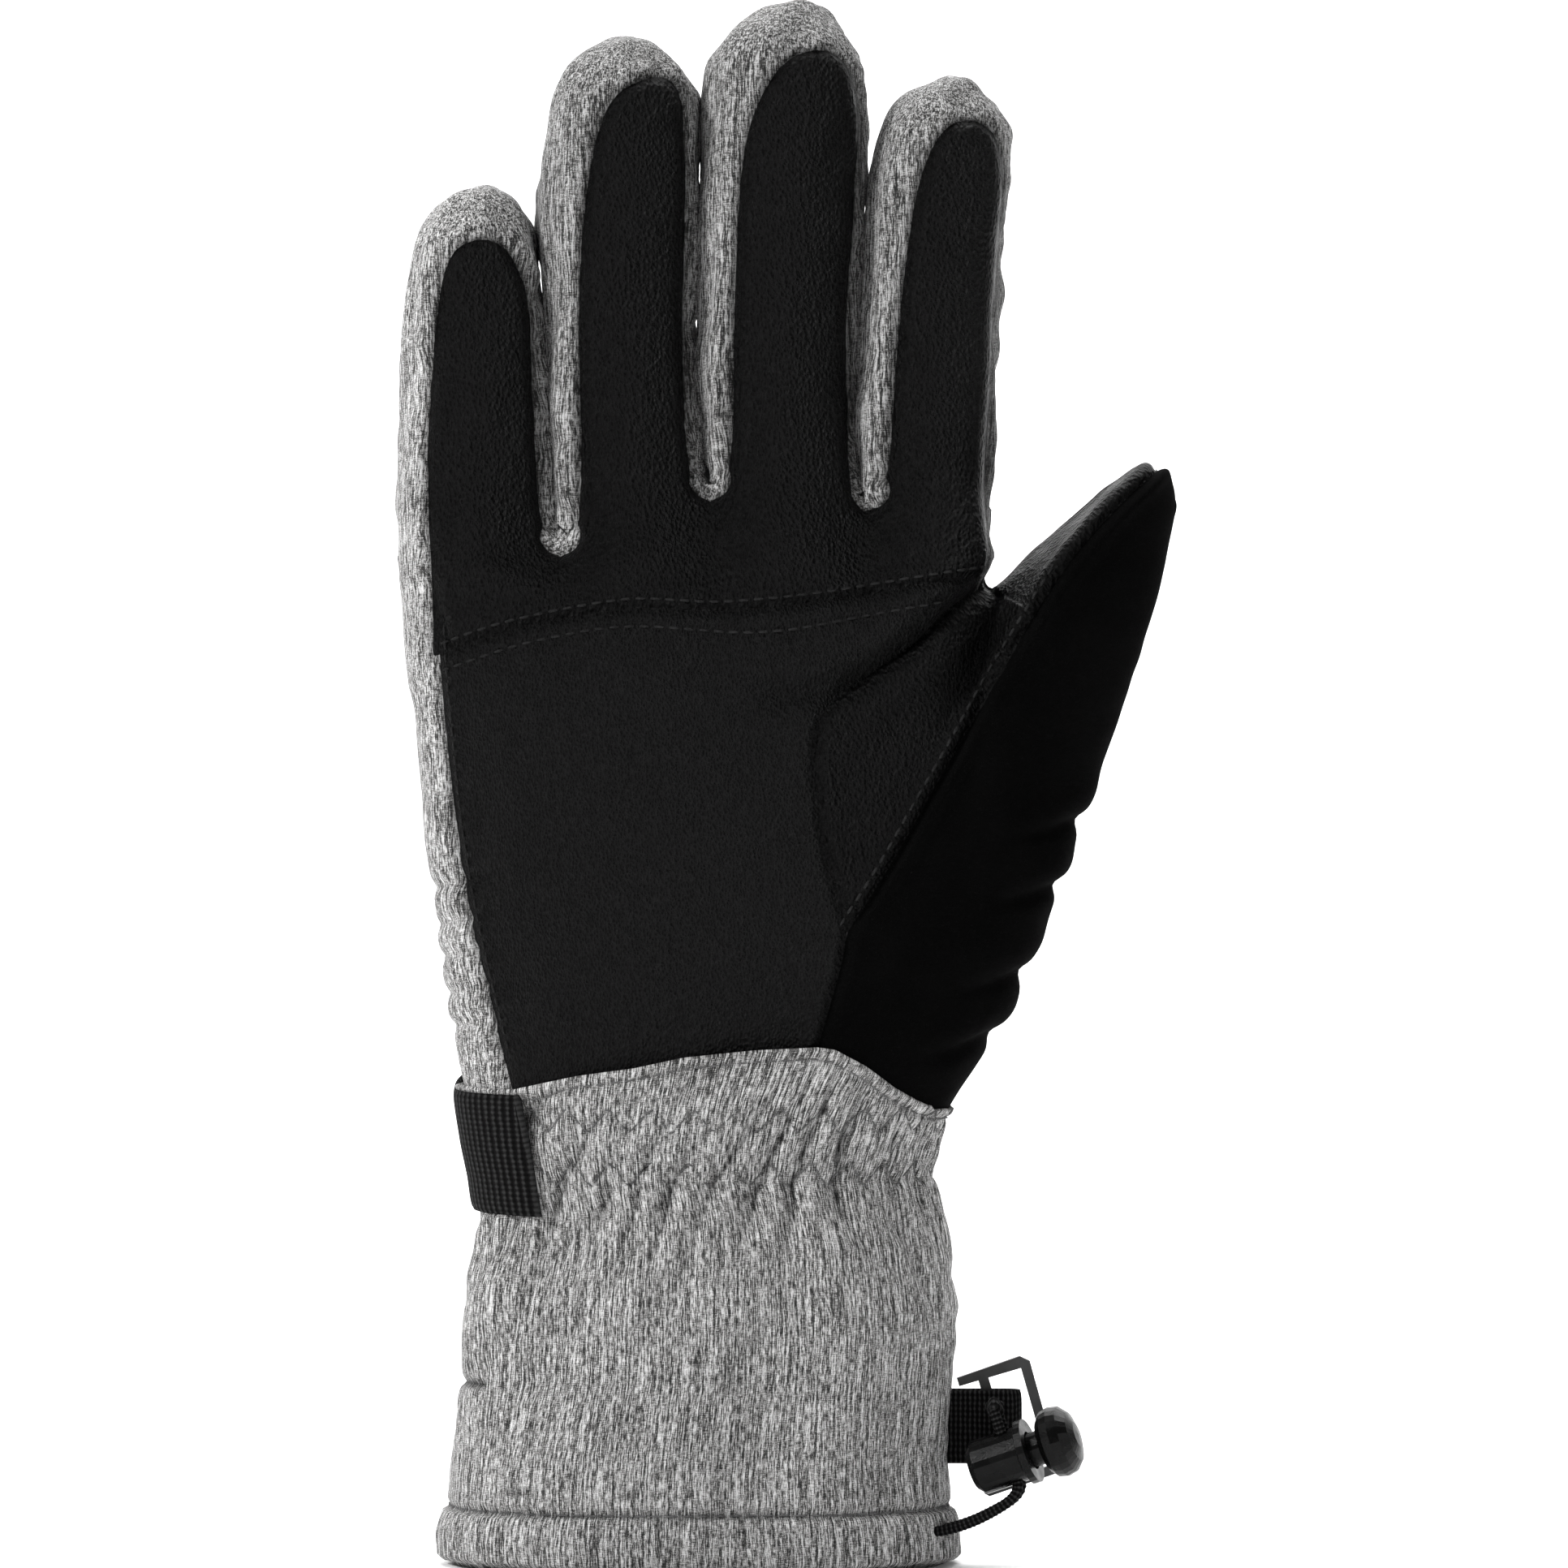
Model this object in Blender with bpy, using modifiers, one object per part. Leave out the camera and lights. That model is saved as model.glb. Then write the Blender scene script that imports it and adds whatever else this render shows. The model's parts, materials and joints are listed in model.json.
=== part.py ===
# Ski glove for the right hand, standing on the hem of its gauntlet with the palm facing -Y, the fingers
# up and the thumb towards +X. Metres, +Z up. Every soft shell is a closed solid with its true outer shape.
import math

import bmesh
import bpy
from mathutils import Matrix, Vector

GAP = 0.0003  # clearance between touching pieces
SHELL_WALL = 0.0020  # leather or fabric with its foam backing
LINER_WALL = 0.0032  # insulation, membrane and fleece together
ROUNDNESS = 2.35  # exponent of the superellipse sections
FINGER_SIDES = 18
HAND_SIDES = 28
FAR = 0.2  # reach of a cutter that only has to pass the part

# Each finger: centre at its root and tip, half width, half depth, height of the palm under it,
# distance from the root hinge to the middle hinge, height of the tip.
FINGERS = {
    "little": (-0.0592, -0.0577, 0.0131, 0.0132, 0.1870, 0.0280, 0.2610),
    "ring": (-0.0308, -0.0306, 0.0140, 0.0138, 0.1950, 0.0320, 0.2890),
    "middle": (-0.0010, -0.0004, 0.0149, 0.0140, 0.1980, 0.0340, 0.2960),
    "index": (0.0280, 0.0296, 0.0130, 0.0136, 0.1920, 0.0310, 0.2810),
}
FACE_SPLIT = -0.0098  # where the leather face meets the side walls of a finger
FACE_SLOPE = 0.13

# Thumb: its line leaves the hand at THUMB_ROOT, leaning THUMB_LEAN out from the fingers.
THUMB_ROOT = Vector((0.0410, -0.0020, 0.1590))
THUMB_LEAN = math.radians(33)
THUMB_DEPTH = 0.0152
THUMB_KNUCKLE = 0.0200  # thumb's root to its hinge, level with the crotch
THUMB_TIP = 0.0565  # thumb's root to its tip
THUMB_SIDE = -0.0172  # inner side of the thumb, in its own frame

# Hand sections: height, left, right, front, back.
HAND = (
    (0.0500, -0.0590, 0.0268, -0.0236, 0.0240),
    (0.0730, -0.0591, 0.0266, -0.0236, 0.0240),
    (0.0916, -0.0608, 0.0358, -0.0236, 0.0248),
    (0.1040, -0.0637, 0.0423, -0.0240, 0.0258),
    (0.1160, -0.0655, 0.0474, -0.0240, 0.0266),
    (0.1290, -0.0666, 0.0520, -0.0240, 0.0266),
    (0.1410, -0.0686, 0.0552, -0.0238, 0.0260),
    (0.1530, -0.0695, 0.0560, -0.0232, 0.0250),
    (0.1660, -0.0709, 0.0500, -0.0222, 0.0238),
    (0.1780, -0.0720, 0.0440, -0.0206, 0.0216),
    (0.1897, -0.0724, 0.0420, -0.0180, 0.0194),
    (0.2000, -0.0726, 0.0412, -0.0156, 0.0172),
)
LEATHER_FOOT = 0.0960  # lower edge of the leather, where the gathered wrist starts
PALM_SEAM = 0.1785  # overlap seam across the palm
PALM_SPLIT = -0.0070  # depth at which the palm leather meets the back of the hand
WRIST = Vector((-0.0160, 0.0, 0.0860))
WRIST_RADIUS = 0.0305
CUFF_RADIUS = 0.0312

# Gauntlet sections: height, left, right, front, back.
CUFF = (
    (0.0000, -0.0628, 0.0304, -0.0288, 0.0288),
    (0.0025, -0.0646, 0.0320, -0.0302, 0.0302),
    (0.0110, -0.0641, 0.0322, -0.0306, 0.0306),
    (0.0240, -0.0631, 0.0318, -0.0304, 0.0304),
    (0.0420, -0.0612, 0.0318, -0.0292, 0.0292),
    (0.0600, -0.0590, 0.0302, -0.0270, 0.0270),
    (0.0730, -0.0588, 0.0272, -0.0250, 0.0250),
    (0.0840, -0.0588, 0.0280, -0.0250, 0.0250),
)
CUFF_SHELL = 0.0018
CUFF_LINING_AT = 0.0050  # depth of the lining's outer face under the shell's
CUFF_LINING = 0.0014
HEM = 0.0030  # height of the hem binding that closes the gauntlet's lower edge
CORD_HEIGHT = 0.0068
CORD_DIAMETER = 0.0020
CORD_DEPTH = 0.0034

STRAP_OFF = 0.0004
STRAP_THICK = 0.0016
STRAP_WIDTH = 0.0232
STRAP_TAB_FROM = -0.0120  # where the free end of the strap starts, on the back

LOCK = Vector((0.0438, -0.0150, 0.0215))  # middle of the cord lock
LOCK_AXIS = Vector((0.915, -0.24, 0.324)).normalized()
CLIP = Vector((0.0405, -0.0025, 0.0258))
CLIP_TILT = math.radians(-16.5)

LOOKS = {
    "leather": ((0.010, 0.010, 0.011), 0.48, 0.0),
    "heather": ((0.28, 0.275, 0.27), 0.92, 0.0),
    "softshell": ((0.006, 0.006, 0.007), 0.95, 0.0),
    "lining": ((0.05, 0.05, 0.055), 0.95, 0.0),
    "webbing": ((0.012, 0.012, 0.013), 0.8, 0.0),
    "black_plastic": ((0.015, 0.015, 0.016), 0.35, 0.0),
    "grey_plastic": ((0.07, 0.07, 0.075), 0.5, 0.0),
    "spring_steel": ((0.55, 0.55, 0.56), 0.3, 1.0),
}


for old in list(bpy.data.objects):
    bpy.data.objects.remove(old, do_unlink=True)
glove = bpy.data.collections.new("ski_glove")
cutters = bpy.data.collections.new("cutters")
bpy.context.scene.collection.children.link(glove)
bpy.context.scene.collection.children.link(cutters)
cutters.hide_render = True


def look(name):
    found = bpy.data.materials.get(name)
    if found:
        return found
    colour, roughness, metallic = LOOKS[name]
    made = bpy.data.materials.new(name)
    made.use_nodes = True
    shader = made.node_tree.nodes["Principled BSDF"]
    shader.inputs["Base Color"].default_value = (*colour, 1.0)
    shader.inputs["Roughness"].default_value = roughness
    shader.inputs["Metallic"].default_value = metallic
    made.diffuse_color = (*colour, 1.0)
    return made


def pivot(name, place, parent=None, turn=None):
    empty = bpy.data.objects.new(name, None)
    empty.empty_display_size = 0.01
    glove.objects.link(empty)
    empty.matrix_world = Matrix.Translation(place) @ (turn or Matrix()).to_4x4()
    if parent:
        empty.parent = parent
        bpy.context.view_layer.update()
        empty.matrix_parent_inverse = parent.matrix_world.inverted()
    bpy.context.view_layer.update()
    return empty


def add(name, mesh, rig=None, material=None):
    """A piece with a material, or a cutter without one."""
    obj = bpy.data.objects.new(name, mesh)
    if material:
        mesh.materials.append(look(material))
        glove.objects.link(obj)
    else:
        cutters.objects.link(obj)
        obj.hide_render = True
        obj.display_type = "WIRE"
    obj.parent = rig
    return obj


def mesh_from(name, bm):
    bmesh.ops.recalc_face_normals(bm, faces=bm.faces)
    mesh = bpy.data.meshes.new(name)
    bm.to_mesh(mesh)
    bm.free()
    return mesh


def section(height, left, right, front, back, sides, inset=0.0):
    """A closed ring, a superellipse with its own depth in front and behind."""
    middle = (left + right) / 2
    half = (right - left) / 2 - inset
    points = []
    for step in range(sides):
        angle = 2 * math.pi * (step + 0.5) / sides
        c, s = math.cos(angle), math.sin(angle)
        depth = (back - inset) if s > 0 else -(front + inset)
        x = middle + math.copysign(half * abs(c) ** (2 / ROUNDNESS), c)
        y = math.copysign(depth * abs(s) ** (2 / ROUNDNESS), s)
        points.append(Vector((x, y, height)))
    return points


def loft(name, rings):
    bm = bmesh.new()
    rows = [[bm.verts.new(point) for point in ring] for ring in rings]
    for low, high in zip(rows, rows[1:]):
        for side in range(len(low)):
            after = (side + 1) % len(low)
            bm.faces.new((low[side], low[after], high[after], high[side]))
    # A twisted four-sided face would leave the Booleans with open edges.
    bmesh.ops.triangulate(bm, faces=bm.faces[:])
    bm.faces.new(rows[0])
    bm.faces.new(rows[-1])
    return mesh_from(name, bm)


def prism(name, outline, plane, low, high):
    """The outline, in plane "XY", "XZ" or "YZ", extruded from low to high along the third axis."""
    place = {
        "XY": lambda a, b, c: (a, b, c),
        "XZ": lambda a, b, c: (a, c, b),
        "YZ": lambda a, b, c: (c, a, b),
    }[plane]
    bm = bmesh.new()
    face = bm.faces.new([bm.verts.new(place(a, b, low)) for a, b in outline])
    made = bmesh.ops.extrude_face_region(bm, geom=[face])["geom"]
    top = [item for item in made if isinstance(item, bmesh.types.BMVert)]
    bmesh.ops.translate(bm, verts=top, vec=Vector(place(0, 0, high - low)))
    return mesh_from(name, bm)


def boolean(obj, cutter, operation="DIFFERENCE"):
    modifier = obj.modifiers.new(cutter.name, "BOOLEAN")
    modifier.solver = "EXACT"
    modifier.operation = operation
    modifier.object = cutter


def saddle(name, radius, steps=10):
    """Everything below a hinge along X at the origin, but for the cylinder about it."""
    arc = [math.pi * (1 + step / steps) for step in range(steps + 1)]
    outline = [(radius * math.cos(angle), radius * math.sin(angle)) for angle in arc]
    outline += [(FAR, 0), (FAR, -FAR), (-FAR, -FAR), (-FAR, 0)]
    return prism(name, outline, "YZ", -FAR, FAR)


def cylinder(name, radius, sides=48):
    """A cylinder along X."""
    bm = bmesh.new()
    bmesh.ops.create_cone(bm, cap_ends=True, segments=sides, radius1=radius, radius2=radius, depth=2 * FAR)
    bmesh.ops.rotate(bm, verts=bm.verts, matrix=Matrix.Rotation(math.pi / 2, 3, "Y"))
    return mesh_from(name, bm)


def box(name, low, high):
    bm = bmesh.new()
    bmesh.ops.create_cube(bm, size=1)
    size = Vector(high) - Vector(low)
    middle = (Vector(high) + Vector(low)) / 2
    bmesh.ops.scale(bm, verts=bm.verts, vec=size)
    bmesh.ops.translate(bm, verts=bm.verts, vec=middle)
    return mesh_from(name, bm)


# ---- gauntlet, the part that stands on the ground

ground = pivot("gauntlet", Vector((0, 0, 0)))
wrist = pivot("wrist_joint", WRIST, ground)


def cuff_rings(inset, low=None, high=None):
    rings = []
    for height, left, right, front, back in CUFF:
        if (low is None or height > low) and (high is None or height < high):
            rings.append(section(height, left, right, front, back, HAND_SIDES, inset))
    for height, at_end in ((low, 0), (high, len(rings) + 1)):
        if height is not None:
            rings.insert(at_end, section(*cuff_at(height), HAND_SIDES, inset))
    return rings


def cuff_at(height):
    """The gauntlet's section at any height, carried on past the ends of the table."""
    table = CUFF
    for below, above in zip(table, table[1:]):
        if height <= above[0]:
            break
    share = min(1.0, max(0.0, (height - below[0]) / (above[0] - below[0])))
    mixed = [low + share * (high - low) for low, high in zip(below[1:], above[1:])]
    return (height, *mixed)


wrist_bore = add("cut_wrist_bore", cylinder("cut_wrist_bore", CUFF_RADIUS), wrist)
shell = add("gauntlet_shell", loft("gauntlet_shell", cuff_rings(0, HEM + GAP, 0.0740)), ground, "heather")
lining = add(
    "gauntlet_lining", loft("gauntlet_lining", cuff_rings(CUFF_LINING_AT, HEM + GAP, 0.0740)), ground, "lining"
)
binding = add("hem_binding", loft("hem_binding", cuff_rings(0, 0.0, HEM)), ground, "heather")
inside_shell = add("cut_inside_shell", loft("cut_inside_shell", cuff_rings(CUFF_SHELL, -0.02, 0.1)), ground)
inside_lining = add(
    "cut_inside_lining", loft("cut_inside_lining", cuff_rings(CUFF_LINING_AT + CUFF_LINING, -0.02, 0.1)), ground
)
boolean(shell, inside_shell)
boolean(lining, inside_lining)
boolean(binding, inside_lining)
boolean(shell, wrist_bore)
boolean(lining, wrist_bore)

# The drawcord leaves the hem through one opening on the thumb side.
cord_exit = add(
    "cut_cord_exit", box("cut_cord_exit", (0.0200, -0.0180, CORD_HEIGHT - 0.0020), (0.0400, -0.0085, CORD_HEIGHT + 0.0024)), ground
)
boolean(shell, cord_exit)


def tube(name, points, diameter, rig, material, closed=False):
    curve = bpy.data.curves.new(name, "CURVE")
    curve.dimensions = "3D"
    curve.bevel_depth = diameter / 2
    curve.bevel_resolution = 2
    curve.use_fill_caps = True
    spline = curve.splines.new("POLY")
    spline.points.add(len(points) - 1)
    for slot, point in zip(spline.points, points):
        slot.co = (*point, 1)
    spline.use_cyclic_u = closed
    curve.materials.append(look(material))
    obj = bpy.data.objects.new(name, curve)
    glove.objects.link(obj)
    obj.parent = rig
    return obj


def smooth_path(points, count):
    """Evenly spaced points on a smooth curve through these."""
    padded = [points[0] * 2 - points[1], *points, points[-1] * 2 - points[-2]]
    fine = []
    for a, b, c, d in zip(padded, padded[1:], padded[2:], padded[3:]):
        for step in range(24):
            t = step / 24
            fine.append(
                0.5 * ((2 * b) + (c - a) * t + (2 * a - 5 * b + 4 * c - d) * t**2 + (3 * b - a - 3 * c + d) * t**3)
            )
    fine.append(points[-1])
    lengths = [0.0]
    for a, b in zip(fine, fine[1:]):
        lengths.append(lengths[-1] + (b - a).length)
    path, at = [], 0
    for step in range(count):
        want = lengths[-1] * step / (count - 1)
        while at < len(fine) - 2 and lengths[at + 1] < want:
            at += 1
        share = (want - lengths[at]) / max(1e-9, lengths[at + 1] - lengths[at])
        path.append(fine[at].lerp(fine[at + 1], min(1.0, share)))
    return path


LOCK_TURN = LOCK_AXIS.to_track_quat("Z", "Y").to_matrix()
strand_up = (Vector((0, 0, 1)) - LOCK_AXIS * LOCK_AXIS.z).normalized()
strand_side = strand_up.cross(LOCK_AXIS).normalized()
BORE_BACK = 0.0012  # how far behind the lock's middle the two strands pass, along its axis
STRAND_SPACING = 0.00125
STRAND_BELOW = 0.0072  # straight run of the strands below and above the lock's middle
STRAND_ABOVE = 0.0098


def strand(side):
    """One end of the drawcord, from the hem opening up through the lock. Side 1 is the front one."""
    through = LOCK - LOCK_AXIS * BORE_BACK - strand_side * (side * STRAND_SPACING)
    exit_y = -0.0132 - side * 0.0013
    bend = [
        Vector((0.0262, exit_y, CORD_HEIGHT)),
        Vector((0.0310, exit_y - 0.0003, CORD_HEIGHT + 0.0006)),
        Vector((0.0372, exit_y - 0.0012, CORD_HEIGHT + 0.0028)),
        through - strand_up * STRAND_BELOW,
    ]
    return smooth_path(bend, 9) + [through + strand_up * STRAND_ABOVE]


def hem_loop():
    """The drawcord's run inside the hem, from the exit's front strand round to its back strand."""
    ring = section(*cuff_at(CORD_HEIGHT), 96, CORD_DEPTH)
    front_end = Vector((0.0262, -0.0145, CORD_HEIGHT))
    back_end = Vector((0.0262, -0.0119, CORD_HEIGHT))
    start = min(range(96), key=lambda n: (ring[n] - front_end).length)
    around = [ring[(start - n) % 96] for n in range(96)]
    stop = min(range(48, 96), key=lambda n: (around[n] - back_end).length)
    return around[3 : stop - 2]


cord_points = list(reversed(strand(1))) + smooth_path(hem_loop(), 54) + strand(-1)
tube("hem_drawcord", cord_points, CORD_DIAMETER, ground, "webbing")

# ---- cord lock: turned barrel and button, with the two strands through both

lock = pivot("cord_lock", LOCK, ground, LOCK_TURN)


def turned(name, profile, rig, material=None, steps=28):
    """A profile of (radius, height) pairs turned about the rig's Z, given up its outer side from the axis."""
    bm = bmesh.new()
    verts = [bm.verts.new((radius, 0, height)) for radius, height in profile]
    for low, high in zip(verts, verts[1:]):
        bm.edges.new((low, high))
    mesh = bpy.data.meshes.new(name)
    bm.to_mesh(mesh)
    bm.free()
    obj = add(name, mesh, rig, material)
    screw = obj.modifiers.new("turn", "SCREW")
    screw.steps = screw.render_steps = steps
    screw.use_merge_vertices = True
    screw.merge_threshold = 0.00001
    screw.use_normal_calculate = True
    return obj


BARREL_BACK, BARREL_FRONT, BARREL_RADIUS, BARREL_BORE = -0.0088, 0.0030, 0.0052, 0.0037
barrel = turned(
    "cord_lock_barrel",
    (
        (0, BARREL_BACK),
        (0.0040, BARREL_BACK),
        (BARREL_RADIUS, BARREL_BACK + 0.0012),
        (BARREL_RADIUS, 0.0012),
        (0.0062, 0.0016),
        (0.0062, BARREL_FRONT),
        (BARREL_BORE, BARREL_FRONT),
        (BARREL_BORE, BARREL_BACK + 0.0012),
        (0, BARREL_BACK + 0.0012),
    ),
    lock,
    "black_plastic",
)
press = pivot("cord_lock_press", LOCK, lock, LOCK_TURN)
button = turned(
    "cord_lock_button",
    (
        (0, -0.0042),
        (0.0033, -0.0042),
        (0.0033, 0.0052),
        (0.0050, 0.0056),
        (0.0064, 0.0068),
        (0.0068, 0.0084),
        (0.0064, 0.0102),
        (0.0048, 0.0117),
        (0.0024, 0.0124),
        (0, 0.0126),
    ),
    press,
    "black_plastic",
)
bore_turn = Matrix((strand_side, strand_up, LOCK_AXIS)).transposed()
bore = pivot("cord_lock_bore", LOCK - LOCK_AXIS * BORE_BACK, lock, bore_turn)
bore_cut = add("cut_lock_bore", box("cut_lock_bore", (-0.0026, -0.02, -0.0013), (0.0026, 0.02, 0.0013)), bore)
slot_cut = add("cut_button_slot", box("cut_button_slot", (-0.0026, -0.02, -0.0013), (0.0026, 0.02, 0.0037)), bore)
boolean(barrel, bore_cut)
boolean(button, slot_cut)

SPRING_RADIUS, SPRING_WIRE, SPRING_TURNS = 0.0026, 0.0003, 1.5
spring_path = []
for step in range(31):
    angle = 2 * math.pi * SPRING_TURNS * step / 30
    rise = BARREL_BACK + 0.0012 + 0.0003 + 0.0007 * step / 30
    spring_path.append(Vector((SPRING_RADIUS * math.cos(angle), SPRING_RADIUS * math.sin(angle), rise)))
spring = tube("cord_lock_spring", spring_path, SPRING_WIRE, lock, "spring_steel")
spring.data.bevel_resolution = 1

# ---- tether tape at the side seam, and the clip that hooks the pair together

TAPE_LOW, TAPE_HIGH = 0.0192, 0.0330
TAPE_FOLD = 0.0012  # how far past the clip's bar the tape's fold is centred
tape_outline = []
for step in range(9):
    angle = -math.pi / 2 + math.pi * step / 8
    tape_outline.append((CLIP.x + TAPE_FOLD + 0.0034 * math.cos(angle), CLIP.y + 0.0034 * math.sin(angle)))
tape_outline += [(0.0331, CLIP.y + 0.0034), (0.0331, CLIP.y - 0.0034)]
tether = add(
    "pair_clip_tether", prism("pair_clip_tether", tape_outline, "XY", TAPE_LOW, TAPE_HIGH), ground, "webbing"
)
tape_inside = []
for step in range(9):
    angle = -math.pi / 2 + math.pi * step / 8
    tape_inside.append((CLIP.x + TAPE_FOLD + 0.0023 * math.cos(angle), CLIP.y + 0.0023 * math.sin(angle)))
tape_inside += [(0.0352, CLIP.y + 0.0023), (0.0352, CLIP.y - 0.0023)]
tape_cut = add("cut_tape", prism("cut_tape", tape_inside, "XY", 0.0, 0.06), ground)
boolean(tether, tape_cut)

clip_rig = pivot("pair_clip_swivel", CLIP, ground, Matrix.Rotation(CLIP_TILT, 3, "Y"))
clip_frame = (
    (-0.0048, 0.0112),
    (0.0078, 0.0118),
    (0.0094, 0.0104),
    (0.0090, -0.0114),
    (-0.0052, -0.0120),
    (-0.0060, -0.0112),
    (-0.0060, -0.0097),
    (-0.0010, -0.0097),
    (-0.0010, 0.0096),
    (-0.0048, 0.0096),
)
clip = add("pair_clip", prism("pair_clip", clip_frame, "XZ", -0.0011, 0.0011), clip_rig, "grey_plastic")
window = add(
    "cut_clip_window",
    prism("cut_clip_window", ((0.0010, -0.0097), (0.0072, -0.0097), (0.0074, 0.0096), (0.0010, 0.0096)), "XZ", -0.02, 0.02),
    clip_rig,
)
boolean(clip, window)

# ---- hand, one loft cut into its panels


def hand_rings(inset, low, high):
    rings = []
    for height, left, right, front, back in HAND:
        if low < height < high:
            rings.append(section(height, left, right, front, back, HAND_SIDES, inset))
    rings.insert(0, section(*hand_at(low), HAND_SIDES, inset))
    rings.append(section(*hand_at(high), HAND_SIDES, inset))
    return [[point - WRIST for point in ring] for ring in rings]


def hand_at(height):
    for below, above in zip(HAND, HAND[1:]):
        if height <= above[0]:
            break
    share = min(1.0, max(0.0, (height - below[0]) / (above[0] - below[0])))
    mixed = [low + share * (high - low) for low, high in zip(below[1:], above[1:])]
    return (height, *mixed)


def from_wrist(outline):
    return [(x - WRIST.x, z - WRIST.z) for x, z in outline]


thumb_turn = Matrix.Rotation(THUMB_LEAN, 3, "Y")
thumb_root = pivot("thumb_root", THUMB_ROOT, wrist, thumb_turn)
hand_inside = add("cut_hand_inside", loft("cut_hand_inside", hand_rings(SHELL_WALL, 0.04, 0.22)), wrist)
liner_inside = add(
    "cut_liner_inside", loft("cut_liner_inside", hand_rings(SHELL_WALL + GAP + LINER_WALL, 0.04, 0.22)), wrist
)
hand_foot = add("cut_hand_foot", saddle("cut_hand_foot", WRIST_RADIUS, 14), wrist)
thumb_room = add(
    "cut_thumb_room",
    box("cut_thumb_room", (THUMB_SIDE - GAP, -0.06, -THUMB_DEPTH - GAP), (0.05, THUMB_DEPTH + GAP, 0.12)),
    thumb_root,
)

# The hand is cut off level under each finger, so the finger can bend over it.
under = {name: row[4] for name, row in FINGERS.items()}
finger_rooms = []
for name, low_x, high_x in (
    ("middle", -0.09, 0.09),
    ("ring", -0.09, -0.0163),
    ("little", -0.10, -0.0454),
    ("index", 0.0144, 0.10),
):
    low = (low_x - WRIST.x, -0.06, under[name] - WRIST.z)
    high = (high_x - WRIST.x, 0.06, 0.24 - WRIST.z + low_x / 10)
    finger_rooms.append(add("cut_room_" + name, box("cut_room_" + name, low, high), wrist))

FRONT, BACK = -0.06, 0.06
panels = {
    "palm_upper_leather": (
        "leather",
        FRONT,
        PALM_SPLIT,
        ((-0.09, PALM_SEAM), (0.0280, PALM_SEAM), (0.0410, 0.1860), (0.06, 0.20), (0.06, 0.22), (-0.09, 0.22)),
    ),
    "palm_lower_leather": (
        "leather",
        FRONT,
        PALM_SPLIT,
        (
            (-0.09, LEATHER_FOOT),
            (0.0062, LEATHER_FOOT),
            (0.0082, 0.1070),
            (0.0116, 0.1180),
            (0.0074, 0.1360),
            (0.0062, 0.1480),
            (0.0064, 0.1616),
            (0.0276, PALM_SEAM - GAP),
            (-0.09, PALM_SEAM - GAP),
        ),
    ),
    "thumb_gusset_leather": (
        "leather",
        FRONT,
        PALM_SPLIT,
        (
            (0.0120, 0.1184),
            (0.0190, 0.1304),
            (0.0276, 0.1436),
            (0.0376, 0.1580),
            (0.0520, 0.1790),
            (0.0520, 0.1930),
            (0.0280, PALM_SEAM - 2 * GAP),
            (0.0068, 0.1615),
            (0.0066, 0.1480),
            (0.0078, 0.1361),
        ),
    ),
    "thumb_outer_softshell": (
        "softshell",
        FRONT,
        PALM_SPLIT,
        (
            (0.0066, LEATHER_FOOT),
            (0.0900, LEATHER_FOOT),
            (0.0900, 0.1786),
            (0.0524, 0.1786),
            (0.0380, 0.1577),
            (0.0280, 0.1433),
            (0.0194, 0.1301),
            (0.0124, 0.1180),
            (0.0086, 0.1069),
        ),
    ),
    "hand_back_shell": (
        "heather",
        PALM_SPLIT + GAP,
        BACK,
        ((-0.09, LEATHER_FOOT), (0.09, LEATHER_FOOT), (0.09, 0.22), (-0.09, 0.22)),
    ),
}
for name, (material, low, high, shape) in panels.items():
    panel = add(name, loft(name, hand_rings(0, 0.0900, 0.2000)), wrist, material)
    region = add("cut_" + name, prism("cut_" + name, from_wrist(shape), "XZ", low, high), wrist)
    boolean(panel, region, "INTERSECT")
    boolean(panel, hand_inside)
    if name != "palm_lower_leather":
        boolean(panel, thumb_room)
    if name in ("palm_upper_leather", "hand_back_shell"):
        for room in finger_rooms:
            boolean(panel, room)

hand_liner = add(
    "hand_liner", loft("hand_liner", hand_rings(SHELL_WALL + GAP, 0.0500, 0.2000)), wrist, "lining"
)
boolean(hand_liner, liner_inside)
boolean(hand_liner, hand_foot)
boolean(hand_liner, thumb_room)
for room in finger_rooms:
    boolean(hand_liner, room)

gather = add("wrist_gather", loft("wrist_gather", hand_rings(0, 0.0500, LEATHER_FOOT - GAP)), wrist, "heather")
elastic_room = add(
    "cut_elastic_room",
    loft("cut_elastic_room", hand_rings(0.0009, 0.0700, 0.0890)),
    wrist,
)
boolean(gather, hand_inside)
boolean(gather, elastic_room)
boolean(gather, hand_foot)
elastic = add("wrist_elastic", loft("wrist_elastic", hand_rings(0.0009 + GAP, 0.0703, 0.0887)), wrist, "webbing")
elastic_inside = add("cut_elastic_inside", loft("cut_elastic_inside", hand_rings(SHELL_WALL, 0.06, 0.1)), wrist)
boolean(elastic, elastic_inside)
boolean(elastic, hand_foot)

# ---- wrist strap: round the little-finger side and over the back, rising towards the back

strap_lift = 0.18
low_edge = 0.0690
band = [
    (-0.04, low_edge - 0.04 * strap_lift),
    (0.04, low_edge + 0.04 * strap_lift),
    (0.04, low_edge + 0.04 * strap_lift + STRAP_WIDTH),
    (-0.04, low_edge - 0.04 * strap_lift + STRAP_WIDTH),
]
band = [(y, z - WRIST.z) for y, z in band]
strap_inside = add("cut_strap_inside", loft("cut_strap_inside", hand_rings(-STRAP_OFF, 0.04, 0.13)), wrist)
strap_band = add("cut_strap_band", prism("cut_strap_band", band, "YZ", -FAR, FAR), wrist)
strap_right = add(
    "cut_strap_right", box("cut_strap_right", (-0.0500 - WRIST.x, -0.06, -0.06), (0.09, 0.0, 0.06)), wrist
)
tab_pivot = WRIST + Vector((0, 0, 0))
tab_y = 0.0258
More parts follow.
